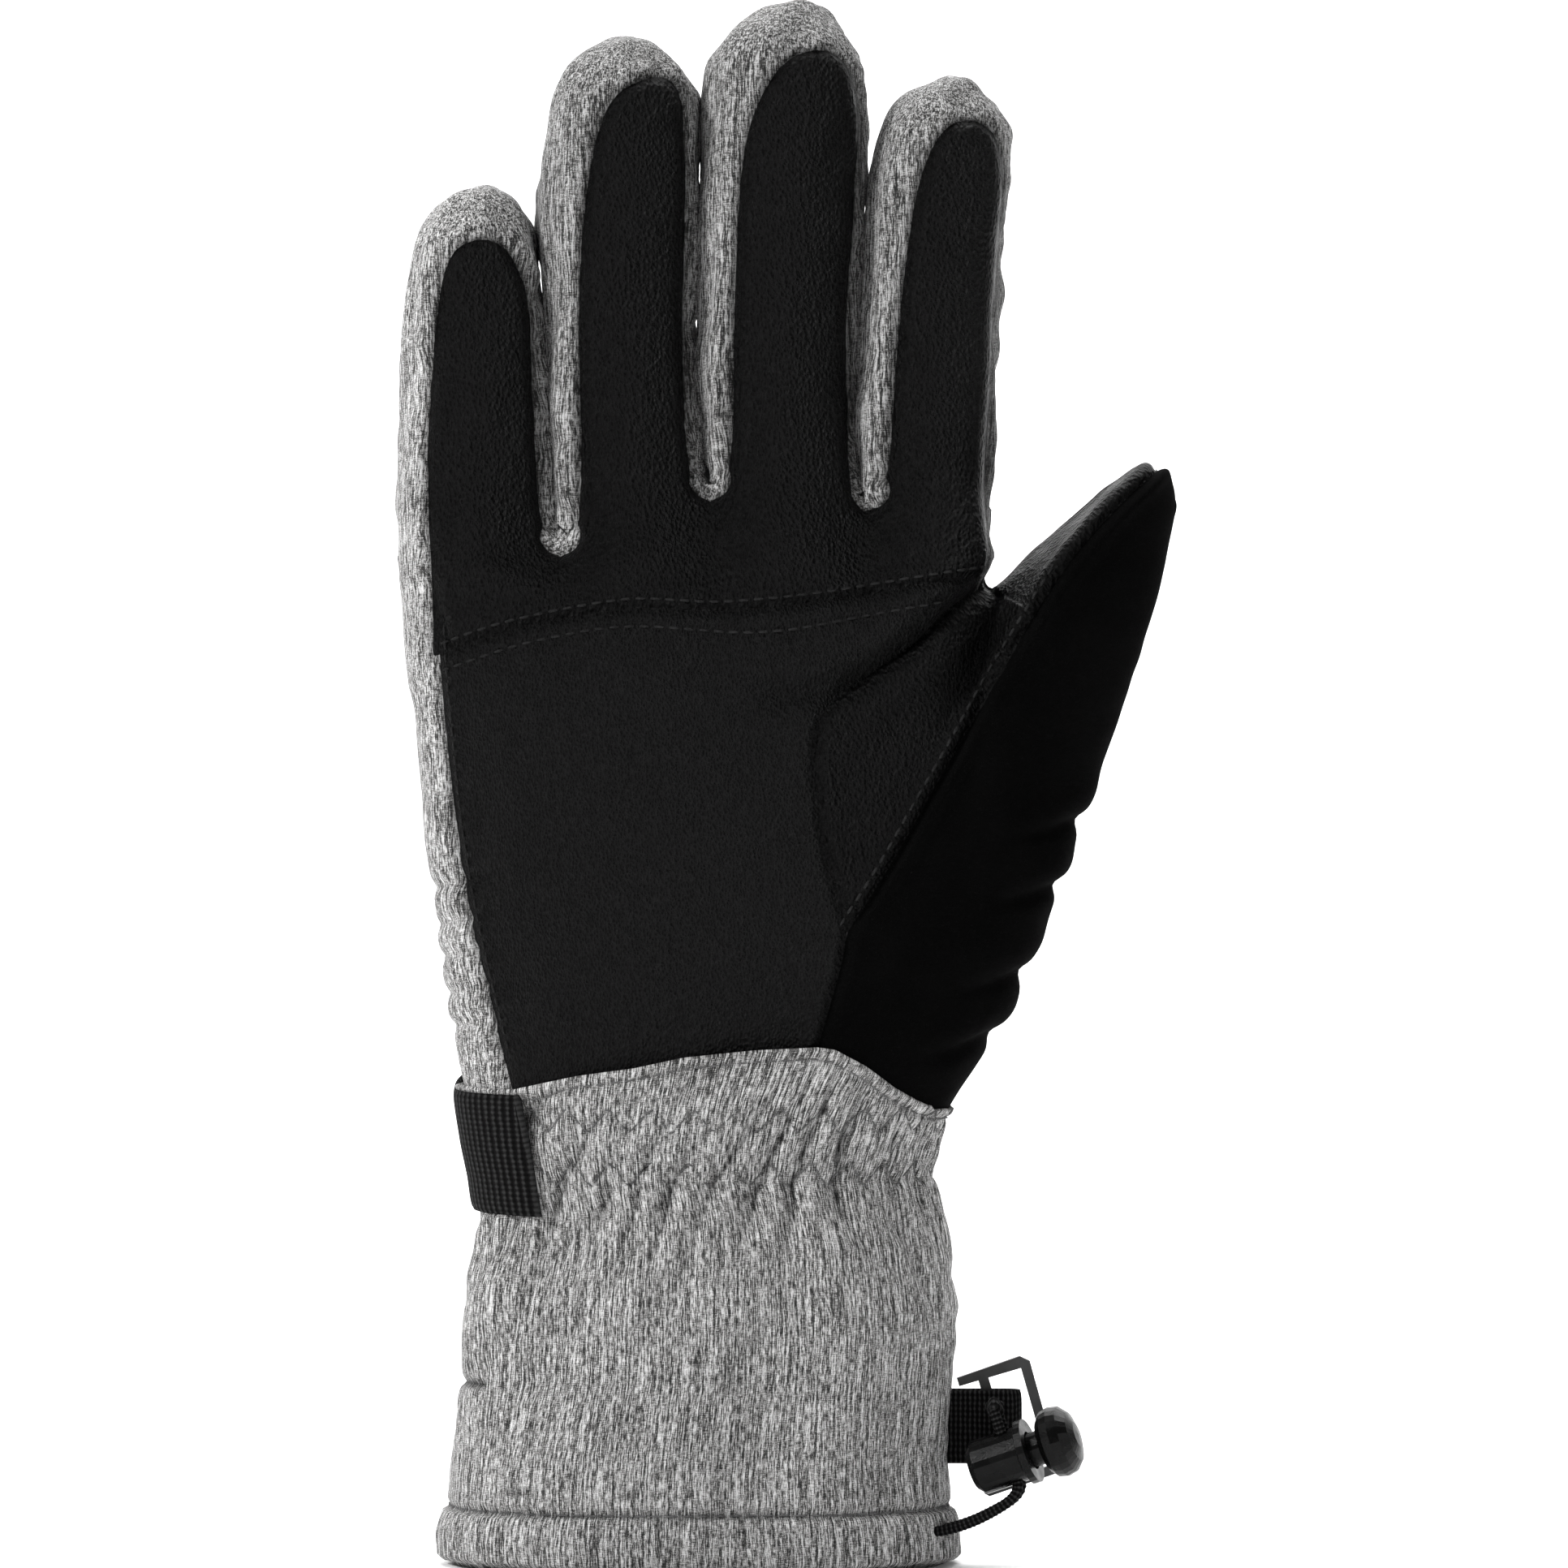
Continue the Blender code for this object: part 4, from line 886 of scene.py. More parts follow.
def plastic(name, level, rough):
    n = Nodes(name)
    texture = n.noise(n.laid((1, 1, 1), source="object"), scale=2600, detail=2)
    worn = n.noise(n.laid((1, 1, 1), source="object"), scale=220, detail=3)
    colour = n.ramp(worn, [(0.3, grey(level * 0.85)), (0.75, grey(level * 1.25))])
    gloss = n.ramp(worn, [(0.3, grey(rough - 0.06)), (0.7, grey(rough + 0.1))])
    return n.done(colour, gloss, shine["plastic"], n.bump(texture, 0.00006, 0.4))


# knitted tape: laid holds across, along and depth
def ribbedTape(name, level, pitchAcross, pitchAlong):
    n = Nodes(name)
    laid = n.laid((1, 1, 1))
    split = n.add("ShaderNodeSeparateXYZ")
    n.link(laid, split.inputs[0])
    across = n.math("SINE", n.math("MULTIPLY", split.outputs["X"], 2 * math.pi / (pitchAcross * mm)), 0)
    jitter = n.math("MULTIPLY", n.noise(laid, scale=700, detail=1), 2.0)
    along = n.math("MULTIPLY", split.outputs["Y"], 2 * math.pi / (pitchAlong * mm))
    along = n.math("SINE", n.math("ADD", along, jitter), 0)
    fuzz = n.noise(laid, scale=3400, detail=2)
    height = n.math("ADD", n.math("MULTIPLY", across, 0.12), n.math("MULTIPLY", along, 0.26))
    height = n.math("ADD", n.math("ADD", height, n.math("MULTIPLY", fuzz, 0.3)), 0.35)
    colour = n.ramp(height, [(0.1, grey(level * 0.1)), (0.5, grey(level * 0.7)), (0.95, grey(level * 6))])
    return n.done(colour, 0.85, shine["tape"], n.bump(height, 0.0005, 0.9))


cloth = heatherCloth("heatherCloth", tone=0.77, contrast=1.9)
gatherThread = softshellCloth("greyThread", level=0.10)
palmHide = leatherHide("palmLeather", level=0.0011, cell=1400, depth=0.0017, rough=0.36)
lowerHide = leatherHide("lowerPalmLeather", level=0.0024, cell=1900, depth=0.0016, rough=0.4)
thumbHide = leatherHide("thumbLeather", level=0.0005, cell=1400, depth=0.0014, rough=0.42)
blackShell = softshellCloth("blackSoftshell", level=0.0014)
backShell = softshellCloth("blackBackSoftshell", level=0.006)
liningCloth = softshellCloth("lining", level=0.02)
blackThread = softshellCloth("blackThread", level=0.016)
tape = ribbedTape("knittedTape", level=0.0052, pitchAcross=1.0, pitchAlong=1.7)
meshTape = ribbedTape("meshTape", level=0.006, pitchAcross=1.1, pitchAlong=0.9)
braid = ribbedTape("braidedCord", level=0.006, pitchAcross=0.8, pitchAlong=0.9)
blackPlastic = plastic("blackPlastic", level=0.0022, rough=0.26)
greyPlastic = plastic("greyPlastic", level=0.05, rough=0.45)
springWire = plastic("springWire", level=0.45, rough=0.3)
springWire.node_tree.nodes["Principled BSDF"].inputs["Metallic"].default_value = 1.0

panelLooks = {
    "heather": (cloth, "heather"), "upper": (palmHide, "leather"), "lower": (lowerHide, "leather"),
    "gusset": (thumbHide, "leather"), "soft": (blackShell, "softshell"), "back": (backShell, "softshell"),
}
standsFor = {
    ("hand", "heather"): ["hand_back_shell"], ("hand", "upper"): ["palm_upper_leather"],
    ("hand", "lower"): ["palm_lower_leather"],
    ("hand", "gusset"): ["thumb_gusset_leather", "thumb_near_face"],
    ("hand", "soft"): ["thumb_outer_softshell", "thumb_near_back"],
    ("thumb", "gusset"): ["thumb_far_face"], ("thumb", "soft"): ["thumb_far_back"],
}
pieceNames = {"heather": "side_wall", "upper": "leather_face", "lower": "palm_lower",
              "gusset": "thumb_leather", "soft": "softshell", "back": "softshell_back"}
regionNames = ["hand"] + [n + "_base" for n in fingerNames] + [n + "_end" for n in fingerNames] + ["thumb"]


def settle(obj, region):
    if region == 0:
        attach(obj, "hand")
    else:
        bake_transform(obj)


for region, regionName in enumerate(regionNames):
    for number, panel in enumerate(panelNames):
        chosen = (regions == region) & (panels == number)
        if chosen.sum() < 12:
            continue
        obj = takePart(f"{regionName}_{pieceNames[panel]}", chosen)
        look, slotName = panelLooks[panel]
        finish(obj, look)
        settle(obj, region)
        nodes = standsFor.get((regionName, panel), [])
        if 0 < region < 9:
            finger, near = fingerNames[(region - 1) % 4], "near" if region < 5 else "far"
            nodes = {"upper": [f"{finger}_{near}_face"], "heather": [f"{finger}_{near}_back"]}.get(panel, [])
        if nodes:
            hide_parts(*nodes)
    inner = takePart(f"{regionName}_lining", regions == region, offset=-relief["shellThick"])
    inner.data.flip_normals()
    finish(inner, liningCloth)
    settle(inner, region)
    if region == 0:
        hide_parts("hand_liner", "thumb_near_liner")
    elif region == 9:
        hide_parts("thumb_far_liner")
    else:
        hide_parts(f"{fingerNames[(region - 1) % 4]}_{'near' if region < 5 else 'far'}_liner")
print("hand pieces laid out")


# cuff: gathered tube from the hem to the seam round the hand
handTree = BVHTree.FromPolygons([Vector(p) for p in surface], triangles.tolist())
turn = np.linspace(0, 2 * math.pi, cuffPattern["around"], endpoint=False)
turn = math.pi + turn  # starts at the little finger side and runs over the front


def cuffSection(z, angle, offset=0.0):
    left, right = column(cuffPattern["left"], z, 1), column(cuffPattern["right"], z, 1)
    deep, square = column(cuffPattern["depth"], z, 1), cuffPattern["squareness"]
    c, s = np.cos(angle), np.sin(angle)
    x = (left + right) / 2 + ((right - left) / 2 + offset) * np.sign(c) * np.abs(c) ** square
    y = (deep + offset) * np.sign(s) * np.abs(s) ** square
    return np.stack([x, y, np.broadcast_to(z, x.shape)], axis=-1)


waist = cuffSection(np.full(len(turn), cuffPattern["waist"]), turn)
stepLength = np.linalg.norm(np.roll(waist, -1, axis=0) - waist, axis=1)
girth = stepLength.sum()
pleat = np.concatenate([[0], np.cumsum(stepLength)[:-1]]) / girth * cuffPattern["pleats"]


def zigzag(phase):
    return (np.abs((phase % 1) - 0.5) * 4 - 1) * cuffPattern["zig"]


strapPattern = {"low": 67.2, "width": 22.6, "lift": 0.3, "front": [(66, -45.6), (90, -51.2)], "stand": 1.5,
                "thick": 1.5, "tabFrom": -12.0, "tabTo": 20.0, "tabStand": 1.9, "tabThick": 1.6,
                "columns": 26, "patchStand": 0.2, "patchThick": 1.1, "patchInset": 3,
                "patchSize": (18, 26), "tabWaist": 82, "tabTaper": 0.22}


def strapLow(y):
    return strapPattern["low"] + np.where(y < 0, 0.03, strapPattern["lift"]) * y


def underStrap(points):
    x, y, z = points.T
    low = strapLow(y)
    end = column(strapPattern["front"], z, 1)
    along = np.where(y < 0, ease((end + 1 - x) / 2), ease((strapPattern["tabTo"] + 1 - x) / 2))
    return along * ease((z - low + 1) / 2) * ease((low + strapPattern["width"] + 1 - z) / 2)


# rows of points; the first rows turn in under the hem, the last roll in at the top seam
def cuffSurface():
    mid = cuffSection(np.full(len(turn), 90.0), turn)
    topFront = column(cuffPattern["topFront"], mid[:, 0], 1)
    topBack = column(cuffPattern["topBack"], mid[:, 0], 1)
    side = hump(mid[:, 1], 6)
    top = np.where(mid[:, 1] < 0, topFront, topBack) * (1 - side) + (topFront + topBack) / 2 * side
    shares = np.linspace(0, 1, cuffPattern["rows"])
    grid = np.stack([cuffSection(0.4 + (top - 0.4) * share, turn) for share in shares])
    flatGrid = grid.reshape(-1, 3)
    z = flatGrid[:, 2]
    phase = np.tile(pleat, len(shares))
    topOf = np.tile(top, len(shares))
    across = np.roll(grid, -1, axis=1) - np.roll(grid, 1, axis=1)
    normal = np.cross(across, np.gradient(grid, axis=0)).reshape(-1, 3)
    normal /= np.linalg.norm(normal, axis=1)[:, None]
    rows = cuffPattern["elasticRows"]
    angle = 2 * math.pi * phase / cuffPattern["pleats"]
    ring = np.stack([np.cos(angle) * 40, np.sin(angle) * 40, z * 0.6], axis=1)
    drift = waves(ring, size=34, seed=11) * 0.35
    lean = (cuffPattern["waist"] - z) * column(cuffPattern["lean"], flatGrid[:, 0], 1)
    fold = np.abs(np.sin(math.pi * (phase + drift + lean)))
    coarse = np.abs(np.sin(math.pi * (phase * 0.5 + drift * 0.8 + lean * 1.1 + 0.3)))
    strength = cuffPattern["gather"] * column(cuffPattern["gatherFade"], z, 1)
    strength *= 0.8 + 0.5 * waves(ring, size=22, seed=12)
    for row in rows:
        strength *= 1 - cuffPattern["elasticPull"] * hump(z - row, 2.4)
    push = strength * (np.sqrt(fold + 0.02) - 0.75)
    push += cuffPattern["coarse"] * column(cuffPattern["coarseFade"], z, 1) * (np.sqrt(coarse + 0.03) - 0.7)
    push += cuffPattern["drape"] * waves(ring, size=30, seed=14) * column(cuffPattern["drapeFade"], z, 1)
    push += cuffPattern["ripple"] * waves(flatGrid, size=7, seed=15)
    for row in rows:
        sewn = hump(z - row - zigzag(phase), cuffPattern["zigWidth"])
        push -= cuffPattern["zigDepth"] * sewn
    push += cuffPattern["hemStand"] * column(cuffPattern["hemProfile"], z, 1)
    puckers = np.abs(np.sin(phase * math.pi * 1.45 + drift * 6)) * column(cuffPattern["hemFade"], z, 1)
    push += cuffPattern["hemPucker"] * puckers
    # the topstitch sinks in below the edge
    push -= cuffPattern["topstitchDepth"] * hump(topOf - z - cuffPattern["topstitch"], 0.6)
    push += cuffPattern["edgeRise"] * hump(topOf - z - 0.8, 0.7)
    dart = hump(z - cuffPattern["dart"][1], 0.75) * (flatGrid[:, 1] < 4)
    dart = dart * ease((cuffPattern["dart"][0] - flatGrid[:, 0]) / 0.8)
    push -= cuffPattern["dartDepth"] * dart
    # painted shade: the cloth is darker in the pleat creases, the dart, the hem, topstitch and zigzag
    # grooves, and under the strap
    paintedCreaseShade = np.clip((0.6 - np.sqrt(fold)) * 2.2, 0, 1) * strength / cuffPattern["gather"]
    paintedCreaseShade += np.clip((0.42 - np.sqrt(coarse)) * 1.6, 0, 1) * column(cuffPattern["coarseShade"], z, 1)
    paintedCreaseShade += dart + 0.8 * hump(z - 11.1, 0.5)
    paintedCreaseShade += 0.35 * hump(topOf - z - cuffPattern["topstitch"], 0.5)
    for row in rows:
        paintedCreaseShade += 0.4 * hump(z - row - zigzag(phase), 0.6)
    covered = underStrap(flatGrid)
    push *= 1 - 0.85 * covered
    paintedCreaseShade = np.clip(paintedCreaseShade, 0, 1) * (1 - covered) + 0.5 * covered
    moved = flatGrid + normal * push[:, None]
    for k in np.nonzero(z > topOf - cuffPattern["overHand"])[0]:  # stay just outside the hand
        spot, way, _, _ = handTree.find_nearest(Vector(moved[k]))
        if spot is None:
            continue
        out = (Vector(moved[k]) - spot).dot(way)
        if out < cuffPattern["clear"]:
            moved[k] += np.array(way) * (cuffPattern["clear"] - out)
    shade = paintedCreaseShade.reshape(grid.shape[:2])
    return grid, moved.reshape(grid.shape), normal.reshape(grid.shape), top, shade


cuffRest, cuffGrid, cuffNormal, cuffEdge, cuffShade = cuffSurface()


def closeRows(grid):
    rows, around = grid.shape[:2]
    index = np.arange(rows * around).reshape(rows, around)
    nextOne = np.roll(index, -1, axis=1)
    return np.stack([index[:-1], nextOne[:-1], nextOne[1:], index[1:]], axis=-1).reshape(-1, 4)


def cuffPiece():
    inward = -cuffNormal
    low, high = cuffGrid[0], cuffGrid[-1]
    turnIn = []
    for away, z in cuffPattern["turnIn"]:
        ring = low + inward[0] * [1, 1, 0] * away
        ring[:, 2] = z
        turnIn.append(ring)
    roll = []
    for away, lift in cuffPattern["edgeRoll"]:
        ring = high + inward[-1] * away
        ring[:, 2] = high[:, 2] + lift
        roll.append(ring)
    full = np.stack(turnIn + list(cuffGrid) + roll)
    unrolled = np.stack([np.broadcast_to(pleat / cuffPattern["pleats"] * girth, cuffRest.shape[:2]),
                         np.zeros(cuffRest.shape[:2]), cuffRest[..., 2]], axis=-1)
    restFull = np.stack([unrolled[0]] * len(turnIn) + list(unrolled) + [unrolled[-1]] * len(roll))
    shadeFull = np.stack([cuffShade[0]] * len(turnIn) + list(cuffShade) + [cuffShade[-1]] * len(roll))
    return newObject("cuff", full.reshape(-1, 3), closeRows(full), rest=restFull.reshape(-1, 3),
                     shade=shadeFull)


cuff = finish(cuffPiece(), cloth)
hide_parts("gauntlet_shell", "wrist_gather", "wrist_elastic", "hem_binding")
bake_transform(cuff)

liningRows = np.stack([cuffSection(np.full(len(turn), z), turn, offset=-inwards)
                       for z, inwards in cuffPattern["lining"]])
liningRows = liningRows[:, ::3]
cuffLining = newObject("cuff_lining", liningRows.reshape(-1, 3), closeRows(liningRows)[:, ::-1])
finish(cuffLining, liningCloth)
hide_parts("gauntlet_lining")
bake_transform(cuffLining)
print("cuff done")


# sewing: short rounded stitches along a line of points on a surface
def stitchRow(name, line, ways, thread, length=1.9, gap=0.9, radius=0.24, sink=0.05):
    line, ways = np.asarray(line), np.asarray(ways)
    along = runLength(line)
    count = max(1, int(along[-1] / (length + gap)))
    points, faces = [], []
    for k in range(count):
        at = (k + 0.5) * along[-1] / count
        spot = np.array([np.interp(at, along, line[:, i]) for i in range(3)])
        ahead = np.array([np.interp(at + 0.4, along, line[:, i]) - np.interp(at - 0.4, along, line[:, i])
                          for i in range(3)])
        up = np.array([np.interp(at, along, ways[:, i]) for i in range(3)])
        size = np.linalg.norm(ahead)
        if size < 1e-6:
            continue
        ahead /= size
        up -= ahead * (up @ ahead)
        up /= np.linalg.norm(up)
        side = np.cross(up, ahead)
        start = len(points)
        stations = ((-0.5, 0.30, -0.35), (-0.42, 0.8, -0.1), (-0.15, 1.0, 0.25),
                    (0.15, 1.0, 0.25), (0.42, 0.8, -0.1), (0.5, 0.30, -0.35))
        for share, thick, rise in stations:
            for corner in range(6):
                a = corner * math.pi / 3
                lift = radius * (rise + 0.35) - sink + radius * thick * math.sin(a)
                out = side * radius * thick * math.cos(a)
                points.append(spot + ahead * share * length + up * lift + out)
        faces += tubeFaces(len(stations), 6, start)
    obj = newObject(name, points, faces)
    obj.data.materials.append(thread)
    return obj


# drop a line of (x, z) points onto the front of the hand
def onFront(line):
    line = rounded(line, 1)
    along = runLength(line)
    spots, ways = [], []
    for at in np.linspace(0, along[-1], int(along[-1] / 0.7)):
        x, z = np.interp(at, along, line[:, 0]), np.interp(at, along, line[:, 1])
        spot, way, _, _ = handTree.ray_cast(Vector((x, -80, z)), Vector((0, 1, 0)))
        if spot is not None:
            spots.append(spot)
            ways.append(way)
    return np.array(spots), np.array(ways)


# a line moved sideways in the front plane; positive is to its left
def shifted(line, away):
    line = rounded(line, 1)
    way = np.gradient(line, axis=0)
    way /= np.linalg.norm(way, axis=1)[:, None]
    return line + np.stack([-way[:, 1], way[:, 0]], axis=1) * away


sewing = {
    "palm_stitch_edge": (shifted(palmLines["overlap"][1:], 1.7), blackThread),
    "palm_stitch_second": (np.array(palmLines["secondRow"]), blackThread),
    "thumb_ridge_stitch": (shifted(palmLines["ridge"][:7], 2.0), blackThread),
    "palm_side_stitch": (shifted(palmLines["littleSide"][1:8], 1.6), blackThread),
}
for name, (line, thread) in sewing.items():
    row = stitchRow(name, *onFront(line), thread, length=1.8, gap=0.95, radius=0.26)
    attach(row, "hand")


# points of the cuff surface at a height for each step round it
def onCuff(heights):
    spots, ways = [], []
    for i in range(len(turn)):
        zs = cuffGrid[:, i, 2]
        k = int(np.clip(np.searchsorted(cuffRest[:, i, 2], heights[i]), 1, len(zs) - 1))
        low, high = cuffRest[k - 1, i, 2], cuffRest[k, i, 2]
        t = np.clip((heights[i] - low) / max(high - low, 1e-6), 0, 1)
        spots.append(cuffGrid[k - 1, i] * (1 - t) + cuffGrid[k, i] * t)
        ways.append(cuffNormal[k, i])
    spots.append(spots[0])
    ways.append(ways[0])
    return np.array(spots), np.array(ways)


cuffRows = {
    "hem_stitch": (np.full(len(turn), cuffPattern["hem"] + 0.4), 2.1, 0.9, 0.2),
    "cuff_edge_stitch": (cuffEdge - cuffPattern["topstitch"], 1.8, 0.9, 0.2),
    "elastic_zigzag_upper": (cuffPattern["elasticRows"][0] + zigzag(pleat), 1.8, 0.35, 0.19),
    "elastic_zigzag_lower": (cuffPattern["elasticRows"][1] + zigzag(pleat), 1.8, 0.35, 0.19),
}
for name, (heights, length, gap, radius) in cuffRows.items():
    row = stitchRow(name, *onCuff(heights), gatherThread, length=length, gap=gap, radius=radius)
    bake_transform(row)
print("sewing done")


# flat tape with rounded edges from a grid of points on its outer face
def slab(name, outer, ways, thick, across, along, material):
    rows, columns = outer.shape[:2]
    edge = np.minimum(np.arange(rows), np.arange(rows)[::-1])[:, None]
    ends = np.minimum(np.arange(columns), np.arange(columns)[::-1])[None, :]
    pull = np.maximum(np.exp(-edge / 0.8), np.exp(-ends / 0.6))[..., None] * thick * 0.32
    top = outer - ways * pull
    under = outer - ways * (thick - pull)
    index = np.arange(rows * columns).reshape(rows, columns)
    corners = [index[:-1, :-1], index[:-1, 1:], index[1:, 1:], index[1:, :-1]]
    quadsTop = np.stack(corners, axis=-1).reshape(-1, 4)
    more = rows * columns
    faces = quadsTop.tolist() + (quadsTop[:, ::-1] + more).tolist()
    border = list(index[0, :]) + list(index[1:, -1]) + list(index[-1, -2::-1]) + list(index[-2:0:-1, 0])
    for a, b in zip(border, border[1:] + border[:1]):
        faces.append((b, a, a + more, b + more))
    shape = (rows, columns)
    laidOut = [np.broadcast_to(across, shape), np.broadcast_to(along, shape), np.zeros(shape)]
    laidOut = np.stack(laidOut, axis=-1)
    laidOut = np.vstack([laidOut.reshape(-1, 3), laidOut.reshape(-1, 3)])
    obj = newObject(name, np.vstack([top.reshape(-1, 3), under.reshape(-1, 3)]), faces, rest=laidOut)
    obj.data.materials.append(material)
    return obj


# a band round the wrist over a run of angles, from its lower edge to its upper edge
def wrapped(angles, stand, width, frontEnd=True):
    grid = []
    for share in np.linspace(0, 1, strapPattern["columns"]):
        ring = cuffSection(np.full(len(angles), cuffPattern["waist"]), angles, stand)
        z = strapLow(ring[:, 1]) + (strapPattern["width"] - width) / 2 + width * share
        ring = cuffSection(z, angles, stand)
        if frontEnd:
            limit = column(strapPattern["front"], ring[:, 2], 1)
            over = ease(1 - np.arange(len(angles)) / 5)
            trimmed = ring[:, 0] * (1 - over) + np.minimum(ring[:, 0], limit) * over
            ring[:, 0] = np.where(ring[:, 1] < 0, trimmed, ring[:, 0])
        grid.append(ring)
    grid = np.array(grid)
    normal = np.cross(np.gradient(grid, axis=1), np.gradient(grid, axis=0))
    normal /= np.linalg.norm(normal, axis=2)[..., None]
    return grid, normal


def angleAt(x, z, sign):
    tries = np.linspace(0.02, math.pi - 0.02, 720) * sign
    ring = cuffSection(np.full(len(tries), z), tries)
    return tries[np.abs(ring[:, 0] - x).argmin()]


def bandAngles(fromX, fromSign, toX, toSign, z, steps):
    a, b = angleAt(fromX, z, fromSign), angleAt(toX, z, toSign)
    if fromSign < 0:
        a += 2 * math.pi
    if toSign < 0:
        b += 2 * math.pi
    return np.linspace(a, b, steps)


strapAngles = bandAngles(-46.5, -1, strapPattern["tabFrom"] + 2, 1, cuffPattern["waist"], 90)
grid, ways = wrapped(strapAngles, strapPattern["stand"], strapPattern["width"])
ways = -ways if (ways[:, 20, 0].mean() > 0) else ways
alongBand = runLength(grid[13])
acrossBand = np.linspace(0, strapPattern["width"], strapPattern["columns"])[:, None]
strap = slab("wrist_strap_band", grid, ways, strapPattern["thick"], acrossBand, alongBand[None, :], tape)
if strap.data.polygons[200].normal.dot(Vector(ways[10, 20])) < 0:
    strap.data.flip_normals()
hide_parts("wrist_strap")
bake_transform(strap)

tabAngles = bandAngles(strapPattern["tabFrom"] - 2, 1, strapPattern["tabTo"], 1, strapPattern["tabWaist"], 40)
grid, ways = wrapped(tabAngles, strapPattern["stand"] + strapPattern["tabStand"], strapPattern["width"],
                     frontEnd=False)
ways = ways if (ways[:, :, 1].mean() > 0) else -ways
tabEnd = ease((np.arange(len(tabAngles)) - 33) / 6)[None, :]
middle = grid.mean(axis=0, keepdims=True)
taper = strapPattern["tabTaper"] * tabEnd[..., None]  # the tab's end is a little narrower
grid = grid * (1 - taper) + middle * taper
alongBand = runLength(grid[13])
tab = slab("wrist_strap_tab", grid, ways, strapPattern["tabThick"], acrossBand, alongBand[None, :], tape)
if tab.data.polygons[200].normal.y < 0:
    tab.data.flip_normals()
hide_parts("strap_tab")
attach(tab, "strap_end")

patchAngles = bandAngles(strapPattern["tabFrom"] + 4, 1, strapPattern["tabTo"] - 5, 1,
                         strapPattern["tabWaist"], 24)
grid, ways = wrapped(patchAngles, strapPattern["stand"] + strapPattern["patchStand"],
                     strapPattern["width"] - strapPattern["patchInset"], frontEnd=False)
ways = ways if (ways[:, :, 1].mean() > 0) else -ways
acrossPatch = np.linspace(0, strapPattern["patchSize"][0], strapPattern["columns"])
alongPatch = np.linspace(0, strapPattern["patchSize"][1], len(patchAngles))
hookPatch = slab("strap_hook_tape", grid, ways, strapPattern["patchThick"], acrossPatch[:, None],
                 alongPatch[None, :], meshTape)
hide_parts("strap_hook_patch")
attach(hookPatch, "hand")

tetherPattern = {"loop": 3.4, "thick": 1.1, "wave": 0.5, "columns": 16,
                 "side": [(27.0, 3.2), (30.5, 3.35), (35, 3.4)]}  # x, and how far from the middle
tetherLow, tetherHigh = (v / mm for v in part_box("pair_clip_tether"))
loop = tetherPattern["loop"]
loopX, loopY = tetherHigh.x - loop, (tetherLow.y + tetherHigh.y) / 2
path = [(x, loopY - out) for x, out in tetherPattern["side"]]
halfTurn = np.linspace(-math.pi / 2, math.pi / 2, 14)
path += [(loopX + loop * math.cos(a), loopY + loop * math.sin(a)) for a in halfTurn]
path += [(x, loopY + out) for x, out in tetherPattern["side"][::-1]]
path = rounded(path, 1)
heading = np.gradient(path, axis=0)
heading /= np.linalg.norm(heading, axis=1)[:, None]
columns = tetherPattern["columns"]
columnsZ = np.linspace(tetherLow.z, tetherHigh.z, columns)
grid = np.array([[(x, y, z + tetherPattern["wave"] * math.sin(k * 0.5) * (1 - abs(2 * s / (columns - 1) - 1)))
                  for k, (x, y) in enumerate(path)]
                 for s, z in enumerate(columnsZ)])
ways = np.array([[(h[1], -h[0], 0) for h in heading]] * columns)
alongBand = runLength(path)
tether = slab("pair_clip_tape", grid, ways, tetherPattern["thick"], columnsZ[:, None] - tetherLow.z,
              alongBand[None, :], meshTape)
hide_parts("pair_clip_tether")
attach(tether, "gauntlet")


# drawcord
def cordTube(name, path, radius, material, sides=14, step=0.35):
    path = np.array(path, float)
    along = runLength(path)
    at = np.linspace(0, along[-1], int(along[-1] / step))
    line = np.stack([np.interp(at, along, path[:, k]) for k in range(3)], axis=1)
    ahead = np.gradient(line, axis=0)
    ahead /= np.linalg.norm(ahead, axis=1)[:, None]
    side = np.cross(ahead[0], [0, 1, 0])
    points, laidOut = [], []
    for k in range(len(line)):
        side = side - ahead[k] * (side @ ahead[k])
        side /= np.linalg.norm(side)
        up = np.cross(ahead[k], side)
        for c in range(sides):
            a = 2 * math.pi * c / sides
            twist = at[k] * 2 * math.pi / 0.9  # one braid crossing each 0.9 mm
            braidHeight = 1 + 0.05 * (math.sin(twist + a * 3) + math.sin(twist - a * 3))
            points.append(line[k] + (side * math.cos(a) + up * math.sin(a)) * radius * braidHeight)
            laidOut.append((a * radius, at[k], 0))
    obj = newObject(name, points, tubeFaces(len(line), sides), rest=laidOut)
    obj.data.materials.append(material)
    return obj, line * mm, along[-1] * mm


lockPattern = {"centre": (43.8, -15.0, 21.5), "axis": (0.915, -0.24, 0.324), "boreBack": 1.2,
               "spacing": 1.25, "below": 7.2, "above": 9.8, "cordRadius": 1.0,
               # each strand out of the hem: x, step to the side and height
               "outOfHem": [(26.2, 0, 6.8), (31.0, -0.3, 7.4), (37.2, -1.2, 9.6)], "exitY": -13.2}
lockAxis = Vector(lockPattern["axis"]).normalized()
strandUp = (Vector((0, 0, 1)) - lockAxis * lockAxis.z).normalized()
strandSide = strandUp.cross(lockAxis).normalized()
lockCentre = Vector(lockPattern["centre"])
strandEnds = []
for label, side in (("front", 1), ("back", -1)):
    through = lockCentre - lockAxis * lockPattern["boreBack"] - strandSide * (side * lockPattern["spacing"])
    exitY = lockPattern["exitY"] - side * 1.3
    knots = [(x, exitY + step, z) for x, step, z in lockPattern["outOfHem"]]
    knots += [tuple(through - strandUp * lockPattern["below"]), tuple(through - strandUp * 2),
              tuple(through + strandUp * 4), tuple(through + strandUp * lockPattern["above"])]
    knots = rounded(knots, 3)
    strand, line, length = cordTube(f"drawcord_{label}", knots, lockPattern["cordRadius"], braid)
    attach(strand, "gauntlet")
    strandEnds.append((strand, knots[-1]))
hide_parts("hem_drawcord")


